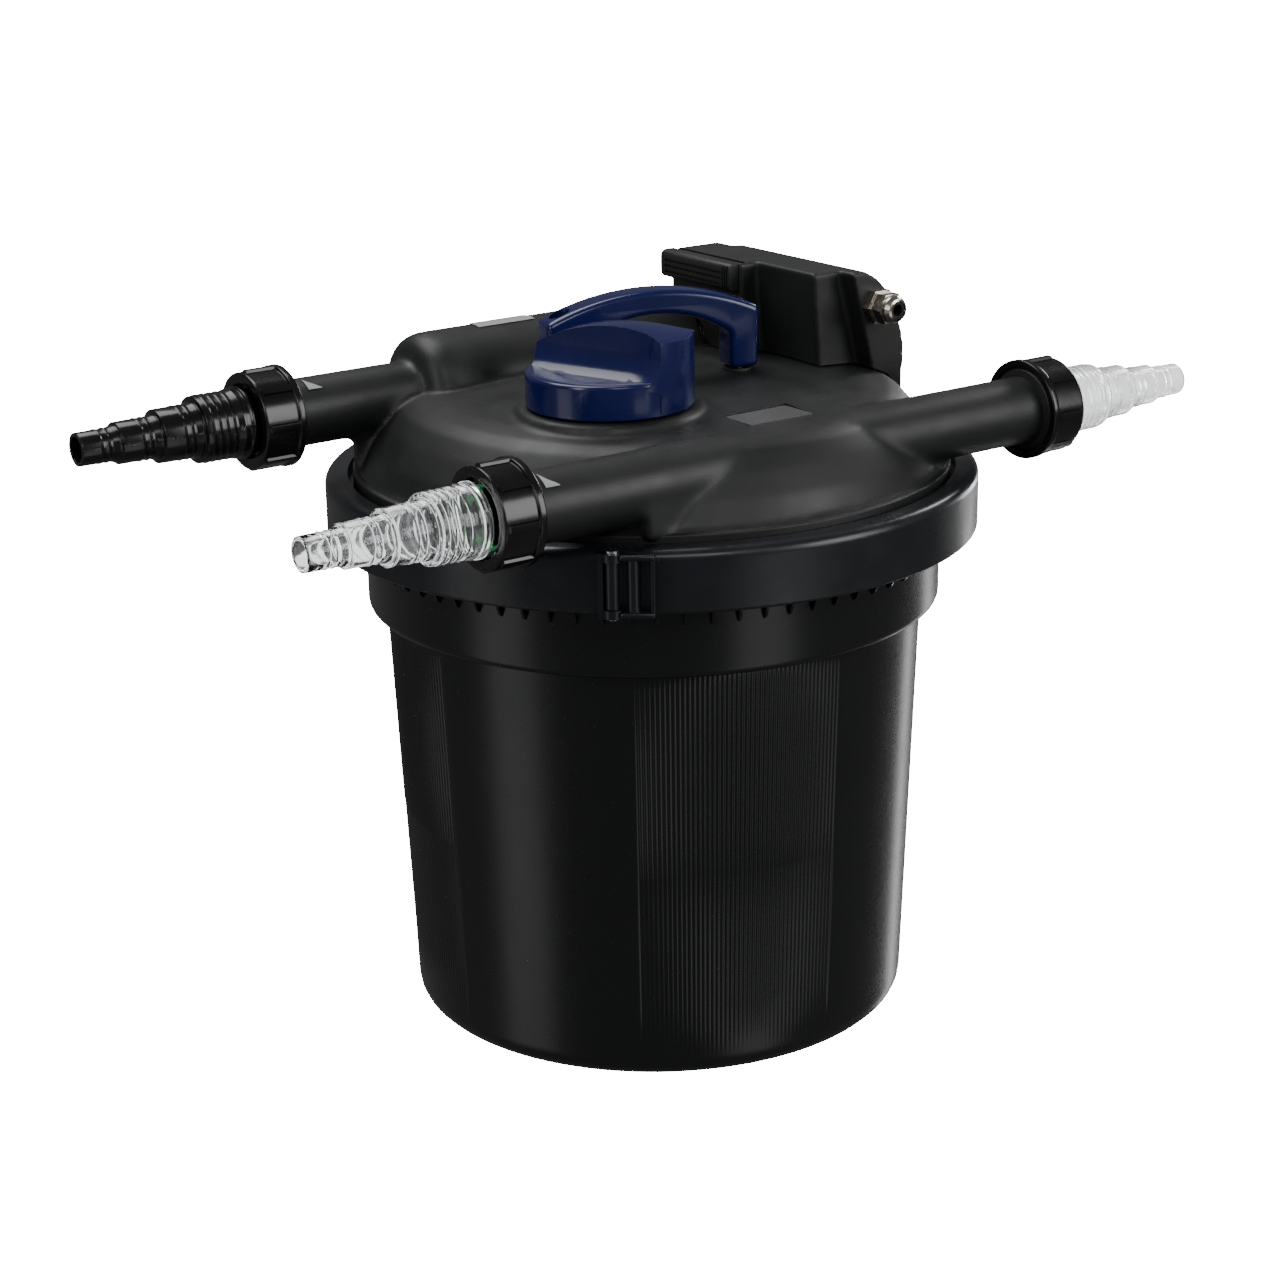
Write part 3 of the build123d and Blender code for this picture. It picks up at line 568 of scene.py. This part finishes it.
def make_lid():
    low = LID_FOOT_Z
    shapes = [
        dome_solid("dome", DOME, low),
        lathe("lid_wall", [(0, low), (LID_WALL_R, low), (LID_WALL_R, 346), (0, 346)], steps=200),
        outlet_rod("outlet_pipe", -OUTLET_END + 5, 2 * OUTLET_END - 10, PIPE_R),
        uv_rod("inlet_pipe", -INLET_END + 5, 150, PIPE_R),
        uv_rod("uv_chamber", UV_X[0], UV_X[1] - UV_X[0] - 1, UV_R, nose=17),
        rod("knob_boss", (*KNOB_AT, 385), UPRIGHT, 11.4, 54.5, steps=128),
    ]
    lid = melt("lid_shell", shapes + lid_webs(), voxel=1.9, rounds=14)
    cutters = [
        lid_cavity(),
        uv_rod("uv_bore", -112, 240, UV_BORE_R),
        uv_rod("trough", UV_X[1], 140, TROUGH_R),
        rod("left_bore", *PIPE_STARTS["outlet_left"], 90, PIPE_BORE_R),
        rod("right_bore", *PIPE_STARTS["outlet_right"], 90, PIPE_BORE_R),
        rod("inlet_bore", *PIPE_STARTS["inlet"], 130, PIPE_BORE_R),
        rod("shaft_hole", (*KNOB_AT, 380), UPRIGHT, 30, 10),
        box_piece("label_recess", (-22.5, 24.5), (-128.5, -101.5), (391.0, 400)),
    ]
    for place in rod_places():
        cutters.append(rod("rod_hole", (*place, 380), UPRIGHT, 30, 7))
    cut(lid, *cutters)
    stand_for(lid, "lid", sharp=50)
    flange = rounded([
        (176, 324.2, 0.4), (190, 324.2, 0.8), (190, 334.7, 0.8), (182.6, 334.7, 0.3), (182.6, 345.6, 1.0),
        (180.4, 346.4, 0.3), (176, 346.4, 0.5),
    ])
    finish_piece(lathe("lid_flange", flange, steps=256), "lid")
    for name, (place, direction) in PIPE_STARTS.items():
        make_thread(name, place, direction)


def make_thread(name, place, direction):
    """Five turns of thread round a pipe's end, drawn as rings."""
    root = THREAD_R - 1.3
    thread = [(PIPE_BORE_R, 0, 0.4), (THREAD_R - 1.2, 0, 0.6)]
    for turn in range(5):
        start = 1.0 + turn * 3.0
        thread += [(root, start, 0.2), (THREAD_R, start + 0.9, 0.2)]
        thread += [(THREAD_R, start + 1.6, 0.2), (root, start + 2.4, 0.2)]
    thread += [(THREAD_R - 1.2, 16, 0.4), (PIPE_BORE_R, 16, 0)]
    outline = rounded(thread, steps=2)
    finish_piece(lathe(f"{name}_thread", outline, axis_matrix(place, direction), 96), "lid")


# ---------------------------------------------------------------- handle
HANDLE_ANGLE = math.radians(-14.5)
HANDLE_REACH, HALF_LEG, HALF_WIDTH = 57.5, 11.0, 11.0
LEG_Z, END_Z, INNER_Z, PEAK_Z, HANDLE_THICK = 396.6, 434.0, 419.0, 449.0, 14.5


def rod_places():
    return [
        (side * HANDLE_REACH * math.cos(HANDLE_ANGLE), side * HANDLE_REACH * math.sin(HANDLE_ANGLE))
        for side in (-1, 1)
    ]


def arc_points(half, end, peak, count):
    """Points of the circular arc through (-half, end), (0, peak) and (half, end)."""
    rise = peak - end
    radius = (half ** 2 + rise ** 2) / (2 * rise)
    limit = math.asin(half / radius)
    turns = np.linspace(-limit, limit, count)
    return [(radius * math.sin(t), peak - radius + radius * math.cos(t)) for t in turns]


def make_handle():
    """Arch with a leg at each end, drawn from the side and pulled to its width."""
    half, inner = HANDLE_REACH + HALF_LEG, HANDLE_REACH - HALF_LEG + 2.5
    foot = half - 0.8
    side = [(a, b, 0) for a, b in arc_points(half, END_Z, PEAK_Z, 25)]
    side[0] = (*side[0][:2], 5)
    side[-1] = (*side[-1][:2], 5)
    under = arc_points(inner, INNER_Z, PEAK_Z - HANDLE_THICK, 21)[::-1]
    under = [(a, b, 6 if index in (0, 20) else 0) for index, (a, b) in enumerate(under)]
    outline = side + [(foot, LEG_Z, 0), (inner, LEG_Z, 0)] + under + [(-inner, LEG_Z, 0), (-foot, LEG_Z, 0)]
    turn = Matrix.Rotation(HANDLE_ANGLE, 4, "Z") @ Matrix.Rotation(math.radians(90), 4, "X")
    handle = prism("pull_handle", rounded(outline, steps=4), -HALF_WIDTH, HALF_WIDTH, turn)
    soften(handle, 4.6, segments=5, angle=50)
    for place in rod_places():
        cut(
            handle,
            rod("screw_recess", (*place, 426), UPRIGHT, 40, 6.2),
            rod("screw_hole", (*place, LEG_Z + 17), UPRIGHT, 30, 2.4),
            rod("rod_socket", (*place, LEG_Z - 2), UPRIGHT, 20.0, 4.0),
        )
    stand_for(handle, "handle", sharp=35)


# ---------------------------------------------------------------- knob
KNOB_ANGLE = math.radians(-65.0)
KNOB_R, KNOB_LOW, KNOB_DISC, KNOB_TOP = 49.6, 397.6, 418.0, 445.0
CAP_R, CAP_AT = 121.0, 12.2
# half of the grip's plan: distance along it and half its width there
GRIP = [
    (-45.5, 5.4), (-34.0, 6.0), (-15.0, 7.6), (5.0, 9.4), (22.0, 11.2), (32.0, 13.2), (39.0, 16.0),
    (44.0, 19.4), (60.0, 27.0),
]
# height, and how much wider the grip is there
GRIP_FLARE = [
    (KNOB_LOW + 1, 0.0), (KNOB_DISC - 8, 0.0), (KNOB_DISC - 3.5, 12.0), (KNOB_DISC - 1.8, 8.6),
    (KNOB_DISC + 0.2, 5.6), (KNOB_DISC + 2.6, 3.4), (KNOB_DISC + 5.5, 1.8), (KNOB_DISC + 9.0, 0.6),
    (KNOB_DISC + 13.0, 0.0), (470.0, 0.0),
]


def flared_prism(name, plan, levels, matrix):
    """Stack of one plan, widened across by each level's flare, so that its sides sweep out at the foot."""
    count = len(plan)
    points = []
    for height, flare in levels:
        points += [(a, b + math.copysign(flare, b), height) for a, b in plan]
    faces = [tuple(range(count))[::-1], tuple(range(len(points) - count, len(points)))]
    for level in range(len(levels) - 1):
        base = level * count
        for index in range(count):
            after = (index + 1) % count
            faces.append((base + index, base + after, base + count + after, base + count + index))
    return tidy_mesh(mesh_object(name, [(matrix @ Vector(point)) * MM for point in points], faces))


def make_knob():
    turn = Matrix.Translation(Vector((*KNOB_AT, 0))) @ Matrix.Rotation(KNOB_ANGLE, 4, "Z")
    disc_outline = rounded([
        (0, KNOB_LOW, 0), (KNOB_R - 0.5, KNOB_LOW, 0.8), (KNOB_R - 0.5, KNOB_DISC, 2.6),
        (KNOB_R - 8, KNOB_DISC - 0.6, 5), (KNOB_R - 22, KNOB_DISC - 2.6, 6), (0, KNOB_DISC - 3.0, 0),
    ], steps=8)
    disc = lathe("knob_disc", disc_outline, turn, 160)
    plan = GRIP + [(a, -b) for a, b in reversed(GRIP)]
    grip = flared_prism("grip", plan, GRIP_FLARE, turn)
    rim = lathe("rim", [(0, 380), (KNOB_R, 380), (KNOB_R, 480), (0, 480)], turn, 160)
    cut(grip, rim, operation="INTERSECT")
    cap_centre = Matrix.Translation(Vector((CAP_AT, 0, KNOB_TOP - CAP_R)))
    over = turn @ cap_centre @ Matrix.Rotation(math.radians(90), 4, "X")
    cap = lathe("cap", [(0, -60), (CAP_R, -60), (CAP_R, 60), (0, 60)], over, 256)
    cut(grip, cap, operation="INTERSECT")
    soften(grip, 1.3, segments=4, angle=50)
    cut(disc, grip, operation="UNION")
    cut(disc, rod("shaft_socket", (*KNOB_AT, KNOB_LOW - 2), UPRIGHT, 14, 7.0))
    disc.name = "dial_knob"
    stand_for(disc, "selector_knob", sharp=32)


# ---------------------------------------------------------------- unions
# radius and length of each step, from the flange outward
TAIL_STEPS = [(21.5, 12.0), (20.0, 25.0), (16.0, 25.0), (12.5, 25.0), (10.0, 24.0)]
# a union sits on each pipe's end and points away from the pipe
UNIONS = {name: (place, (-direction[0], 0, 0)) for name, (place, direction) in PIPE_STARTS.items()}
NUT_R, NUT_RIB, NUT_FROM, NUT_LENGTH, NUT_LIP, NUT_MOUTH_R = 29.0, 1.5, -16.0, 26.0, 3.6, 22.4
TAIL_FLANGE_R, TAIL_FROM, STEPS_FROM, TAIL_WALL = 25.4, 2.0, 6.0, 2.4


def nut_change(radius, height, angle):
    """Eight broad grip ribs that stop short of the open end."""
    if radius < NUT_R - 1.5 or height > NUT_FROM + NUT_LENGTH - 2.2 or height < NUT_FROM + 4.6:
        return radius, height
    turn = (math.degrees(angle) + 22.5) % 45.0 - 22.5
    rise = max(0.0, min(1.0, (5.0 - abs(turn)) / 1.4))
    return radius + NUT_RIB * rise * rise * (3 - 2 * rise), height


def make_nut(place, centre, direction):
    """Ribbed nut with a lip over the tail's flange and a threaded bore."""
    top = NUT_FROM + NUT_LENGTH
    bore, flange = THREAD_R + 0.4, NUT_R + NUT_RIB
    outline = [
        (bore, NUT_FROM, 0.6), (flange, NUT_FROM, 0.9), (flange, NUT_FROM + 4.4, 0.7),
        (NUT_R, NUT_FROM + 4.8, 0.1), (NUT_R, NUT_FROM + 5.6, 0.1), (NUT_R, top - 2.6, 0.1),
        (NUT_R, top - 2.0, 0.1), (NUT_R, top, 1.6), (NUT_MOUTH_R, top, 0.7),
        (NUT_MOUTH_R, top - NUT_LIP, 0.4), (bore, top - NUT_LIP, 0.4),
    ]
    crest = bore + 0.9
    for ridge in range(6):
        at = top - NUT_LIP - 3 - ridge * 3.0
        outline += [(bore, at, 0.1), (crest, at - 0.9, 0.1), (crest, at - 1.4, 0.1), (bore, at - 2.3, 0.1)]
    placed = axis_matrix(centre, direction)
    nut = lathe(f"{place}_nut", rounded(outline, steps=3), placed, 288, change=nut_change)
    stand_for(nut, f"{place}_union_nut", sharp=38)


def first_step(radius, at, end):
    """Neck, one raised ring and a plain run, for the widest step."""
    neck, plain = radius - 2.4, radius - 1.1
    return [
        (neck, at + 0.2, 0.4), (neck, at + 5.5, 0.8), (radius, at + 6.5, 0.5), (radius, at + 8.2, 0.5),
        (plain, at + 9.0, 0.3), (plain, end, 0.3),
    ]


def barbed_step(radius, at, end, rings):
    """Soft barb at the step's root, then fine rings."""
    barb = radius + 0.9
    points = [(barb, at, 0.5), (barb, at + 1.4, 0.5), (radius, at + 5.0, 1.0)]
    for ring in range(rings):
        start = at + 6.5 + ring * 4.6
        points += [(radius, start, 0.3), (radius + 0.45, start + 0.8, 0.3), (radius, start + 1.6, 0.3)]
    return points + [(radius - 0.1, end, 0.5)]


def make_tail(place, centre, direction):
    """Stepped hose tail, hollow, with its flange inside the nut."""
    outline = [(TAIL_FLANGE_R, TAIL_FROM, 0.4), (TAIL_FLANGE_R, STEPS_FROM, 0.5)]
    inside = []
    at = STEPS_FROM
    for index, (radius, length) in enumerate(TAIL_STEPS):
        end = at + length
        if index == 0:
            outline += first_step(radius, at, end)
        else:
            outline += barbed_step(radius, at, end, 4 if index == 1 else 2)
        bore = radius - TAIL_WALL
        inside += [(bore, at - TAIL_WALL + 1.2, 0.6), (bore - 0.2, end - TAIL_WALL, 0.6)]
        at = end
    inside[0] = (inside[0][0], TAIL_FROM, 0.3)
    inside[-1] = (inside[-1][0], at, 0.3)
    outline = rounded(outline + inside[::-1], steps=3)
    tail = lathe(f"{place}_tail", outline, axis_matrix(centre, direction), 96)
    stand_for(tail, f"{place}_hose_tail", sharp=45)


# ---------------------------------------------------------------- ring latch
LATCH_ANGLE = math.radians(-129.3)
LATCH_Z, BARREL_Z = (306.5, 342.8), (311.4, 337.8)
PIN_OUT, PIN_ALONG, PIN_HOLE_R = 205.5, -9.5, 2.7
GRIP_BAR_R, BARREL_R = 3.7, 4.1


def make_latch():
    """Lever drawn with x outward from the ring and y along it: lipped tray, grip bar and hinge barrel."""
    turn = Matrix.Rotation(LATCH_ANGLE, 4, "Z")
    at_pin = turn @ Matrix.Translation((PIN_OUT, PIN_ALONG, 0))
    low, high = LATCH_Z
    grip = rounded([(0, low + 1, 0), (GRIP_BAR_R, low + 1, 0), (GRIP_BAR_R, high - 1, 0), (0, high - 1, 0)])
    barrel = [(0, BARREL_Z[0]), (BARREL_R, BARREL_Z[0]), (BARREL_R, BARREL_Z[1]), (0, BARREL_Z[1])]

    def lever_block(name, out, along, height, round_by):
        plan = [(out[0], along[0]), (out[1], along[0]), (out[1], along[1]), (out[0], along[1])]
        return soften(prism(name, plan, *height, turn), round_by, 3)

    lever = lever_block("latch_lever_body", (201.2, 202.9), (-6.2, 13.6), (low, high), 0.5)
    pieces = [
        lever_block("top_lip", (201.4, 210.6), (-5.4, 14.0), (high - 3.4, high), 1.3),
        lever_block("foot_lip", (201.4, 210.6), (-5.4, 14.0), (low, low + 3.4), 1.3),
        lever_block("side_lip", (201.4, 209.4), (11.6, 14.2), (low, high), 1.0),
        lathe("grip_bar", grip, turn @ Matrix.Translation((205.8, 2.2, 0)), 48),
        lever_block("barrel_arm", (202.0, 204.6), (-9.5, -4.0), BARREL_Z, 0.4),
        lathe("barrel", barrel, at_pin, 48),
    ]
    for piece in pieces:
        cut(lever, piece, operation="UNION")
    cut(lever, lathe("pin_hole", [(0, 300), (PIN_HOLE_R, 300), (PIN_HOLE_R, 350), (0, 350)], at_pin, 48))
    stand_for(lever, "latch_lever", sharp=35)


# ---------------------------------------------------------------- UV head
HEAD_TOP, HEAD_BASE = 451.0, 372.0
FAR_X, FAR_Y, LONG_Y, NEAR_Y = (84.4, 122.0), (19.0, 92.0), (-38.5, 74.0), -52.5
BAR_X, BAR_Z, RECESS_X = (76.8, 87.2), (433.0, 450.9), 89.6
# the head's curved back, from its top down (x, z)
HEAD_BACK = [
    (127.0, 451.0), (135.5, 446.0), (141.0, 441.0), (147.5, 432.0), (152.0, 423.0), (156.0, 412.0),
    (158.0, 402.0), (158.0, 392.0), (157.0, 384.0),
]


def make_head():
    """Long block and far block run together, with the collar that goes into the UV chamber."""
    side = [(102.5, HEAD_BASE), (97.0, HEAD_TOP)] + HEAD_BACK + [(157.0, HEAD_BASE)]
    stand_up = Matrix.Rotation(math.radians(90), 4, "X")
    case = prism("case", side, -LONG_Y[1], -NEAR_Y, stand_up)
    notch = prism("notch", [(80, 456), (115, 456), (138, 368), (80, 368)], -LONG_Y[0], -NEAR_Y + 6, stand_up)
    cut(case, notch)
    far_plan = [(FAR_X[0], FAR_Y[0]), (FAR_X[1], FAR_Y[0]), (FAR_X[1], FAR_Y[1]), (FAR_X[0], FAR_Y[1])]
    far = prism("far_block", far_plan, HEAD_BASE, HEAD_TOP)
    collar = uv_rod("collar", FAR_X[0], FAR_X[1] - FAR_X[0], 37.0, steps=128)
    case = melt("head_case", [case, far, collar], voxel=1.25, rounds=9)
    lifted = [(radius + 0.8 * (radius > 0), height + 0.8) for radius, height in DOME]
    slot_y = (FAR_Y[0] + 1.5, FAR_Y[1] + 10)
    bar_slot = box_piece("bar_slot", (70, RECESS_X), slot_y, (BAR_Z[0] - 1.0, 460))
    cut(
        case,
        dome_solid("under_head", lifted, 330),
        box_piece("inside", (94, 119), (22, 89), (397, 447)),
        box_piece("inside_long", (107, 141), (-35, 71), (397, 432)),
        uv_rod("collar_bore", FAR_X[0] - 5, 39.6, 34.0),
        bar_slot,
        rod("gland_hole", (135, NEAR_Y - 8, 429), (0, 1, 0), 24, 8),
    )
    stand_for(case, "uv_head_housing", sharp=40)


def make_release_bar():
    """Rounded grip bar with grooves along it and a few upright ridges at its near end."""
    low, high = BAR_Z
    face, root = BAR_X
    section = rounded([(face, low, 6), (root, low, 1), (root, high, 1), (face, high, 5)], steps=6)
    near, far = FAR_Y[0] + 2.2, FAR_Y[1] + 1.6
    stand_up = Matrix.Rotation(math.radians(90), 4, "X")
    bar = prism("release_bar", section, -far, -near, stand_up)
    soften(bar, 3.0, segments=4, angle=50)
    for groove in range(3):
        height = 437.0 + groove * 3.6
        cut(bar, box_piece("groove", (face - 2, face + 1.3), (near + 9, far - 5), (height, height + 1.3)))
    for ridge in range(3):
        at = near + 1.6 + ridge * 2.3
        cut(bar, box_piece("ridge", (face - 2, face + 1.1), (at, at + 0.9), (low - 1, high + 1)))
    stand_for(bar, "release_button", sharp=35)


# ---------------------------------------------------------------- foam
FOAM_LOW, FOAM_RING, FOAM_RINGS, FOAM_LOBES = 32.0, 60.0, 4, 36
FOAM_HOLE_R, FOAM_R = 27, 135


def make_foam():
    """Foam rings with a gently fluted outer edge."""
    for ring in range(FOAM_RINGS):
        low = FOAM_LOW + ring * FOAM_RING
        foot, top = low + 0.6, low + 59.4
        outline = rounded([
            (FOAM_HOLE_R, foot, 3), (FOAM_R, foot, 5), (135.6, low + 30, 20), (FOAM_R, top, 5),
            (FOAM_HOLE_R, top, 3),
        ], steps=4)

        def wavy(radius, height, angle, low=low):
            if radius > 120:
                lobe = 0.5 + 0.5 * math.cos(FOAM_LOBES * angle)
                radius -= 1.6 * lobe * math.sin(math.pi * (height - low) / FOAM_RING)
            return radius, height

        foam = lathe(f"foam_disc_{ring + 1}", outline, steps=288, change=wavy)
        for place in rod_places():
            cut(foam, rod("rod_hole", (*place, low - 5), UPRIGHT, 75, 6))
        stand_for(foam, f"foam_ring_{ring + 1}", sharp=60)
        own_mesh(foam)


# ---------------------------------------------------------------- stickers
def curved_sticker(name, axis, centre_x, half_length, angle_from, angle_to, radius, point=False):
    """Thin sheet that follows a pipe along X, whose axis is at (y, z); point narrows its +X end."""
    across = 16
    points, faces = [], []
    for lift in (0.06, 0.24):
        for x in (centre_x - half_length, centre_x + half_length):
            for step in range(across + 1):
                share = 0.95 + 0.05 * step / across if point and x > centre_x else step / across
                angle = math.radians(angle_from + (angle_to - angle_from) * share)
                points.append((
                    x * MM, (axis[0] + (radius + lift) * math.cos(angle)) * MM,
                    (axis[1] + (radius + lift) * math.sin(angle)) * MM
                ))
    row = across + 1
    for step in range(across):
        faces.append((step, step + 1, row + step + 1, row + step))
        faces.append((2 * row + step, 3 * row + step, 3 * row + step + 1, 2 * row + step + 1))
        faces.append((step, 2 * row + step, 2 * row + step + 1, step + 1))
        faces.append((row + step, row + step + 1, 3 * row + step + 1, 3 * row + step))
    faces.append((0, row, 3 * row, 2 * row))
    faces.append((across, 2 * row + across, 3 * row + across, row + across))
    sticker = tidy_mesh(mesh_object(name, points, faces))
    finish_piece(sticker, "label_plate", material=sticker_paper)


# ---------------------------------------------------------------- stage and light
# strengths of the white surroundings: seen directly, through clear plastic, and as light on everything
BACKDROP, THROUGH_CLEAR, AMBIENT = 30.0, 1.5, 0.13


def make_stage():
    bpy.ops.mesh.primitive_plane_add(size=14, location=(0, 0, 0))
    floor = bpy.context.active_object
    floor.name = "studio_floor"
    material, tree, shader = new_material("studio_floor")
    vector = place_texture(tree, 1.0)
    tree.links.new(two_tone(tree, noise(tree, vector, 3.0), (0.9, 0.9, 0.9), (0.92, 0.92, 0.92)),
                   shader.inputs["Base Color"])
    shader.inputs["Roughness"].default_value = 0.9
    shader.inputs["Specular IOR Level"].default_value = 0.1
    shader.inputs["Emission Color"].default_value = (1, 1, 1, 1)
    shader.inputs["Emission Strength"].default_value = BACKDROP
    floor.data.materials.append(material)
    floor.visible_diffuse = False
    floor.visible_glossy = False
    floor.visible_transmission = False
    floor.visible_shadow = False


def area_light(name, place, target, size, power, colour=(1, 1, 1)):
    data = bpy.data.lights.new(name, "AREA")
    data.shape = "RECTANGLE"
    data.size, data.size_y = size
    data.energy = power
    data.color = colour
    light = bpy.data.objects.new(name, data)
    bpy.context.collection.objects.link(light)
    light.location = place
    light.rotation_euler = (Vector(target) - Vector(place)).to_track_quat("-Z", "Y").to_euler()


def multiply_add(tree, value, factor, base):
    node = tree.nodes.new("ShaderNodeMath")
    node.operation = "MULTIPLY_ADD"
    tree.links.new(value, node.inputs[0])
    node.inputs[1].default_value = factor
    node.inputs[2].default_value = 0.0
    if base:
        tree.links.new(base, node.inputs[2])
    return node.outputs[0]


def make_lights():
    middle, low_middle = (0, 0, 0.3), (0, 0, 0.15)
    area_light("top_softbox", (-0.3, 0.9, 2.4), middle, (2.0, 1.4), 42)
    area_light("right_strip", (2.1, 0.5, 0.8), middle, (0.3, 1.8), 34)
    area_light("right_fill", (1.3, -2.2, 1.2), middle, (1.2, 1.6), 34)
    area_light("low_right_card", (2.0, 0.52, -0.5), low_middle, (0.3, 1.5), 4.5)
    area_light("low_left_card", (-2.0, 0.24, -0.5), low_middle, (0.8, 1.3), 2.6)
    area_light("low_front_card", (0.25, -2.0, -0.6), low_middle, (0.8, 1.2), 2.6)
    area_light("left_fill", (-2.2, -0.5, 1.2), middle, (0.5, 1.4), 12)
    area_light("front_fill", (-0.9, -2.4, 2.3), middle, (1.2, 0.8), 16)
    world = bpy.data.worlds.new("studio")
    bpy.context.scene.world = world
    world.use_nodes = True
    tree = world.node_tree
    background = tree.nodes["Background"]
    background.inputs["Color"].default_value = (1, 1, 1, 1)
    path = tree.nodes.new("ShaderNodeLightPath")
    direct = multiply_add(tree, path.outputs["Is Camera Ray"], BACKDROP, None)
    through = multiply_add(tree, path.outputs["Is Transmission Ray"], THROUGH_CLEAR, direct)
    ambient = tree.nodes.new("ShaderNodeMath")
    ambient.operation = "ADD"
    ambient.inputs[1].default_value = AMBIENT
    tree.links.new(through, ambient.inputs[0])
    tree.links.new(ambient.outputs[0], background.inputs["Strength"])


make_drum()
make_drum_gussets()
make_lid()
make_handle()
make_knob()
for union, (union_centre, union_direction) in UNIONS.items():
    make_nut(union, union_centre, union_direction)
    make_tail(union, union_centre, union_direction)
make_latch()
make_head()
make_release_bar()
make_foam()
curved_sticker("chamber_sticker", (INLET_Y, INLET_Z), -50, 20.5, 74, 101, UV_R + 0.3)
curved_sticker("outlet_arrow", (OUTLET_Y, OUTLET_Z), -170, 4.5, 104, 136, PIPE_R + 0.2, point=True)
curved_sticker("inlet_arrow", (INLET_Y, INLET_Z), -190, 4.5, 102, 130, PIPE_R + 0.2, point=True)
make_stage()
make_lights()
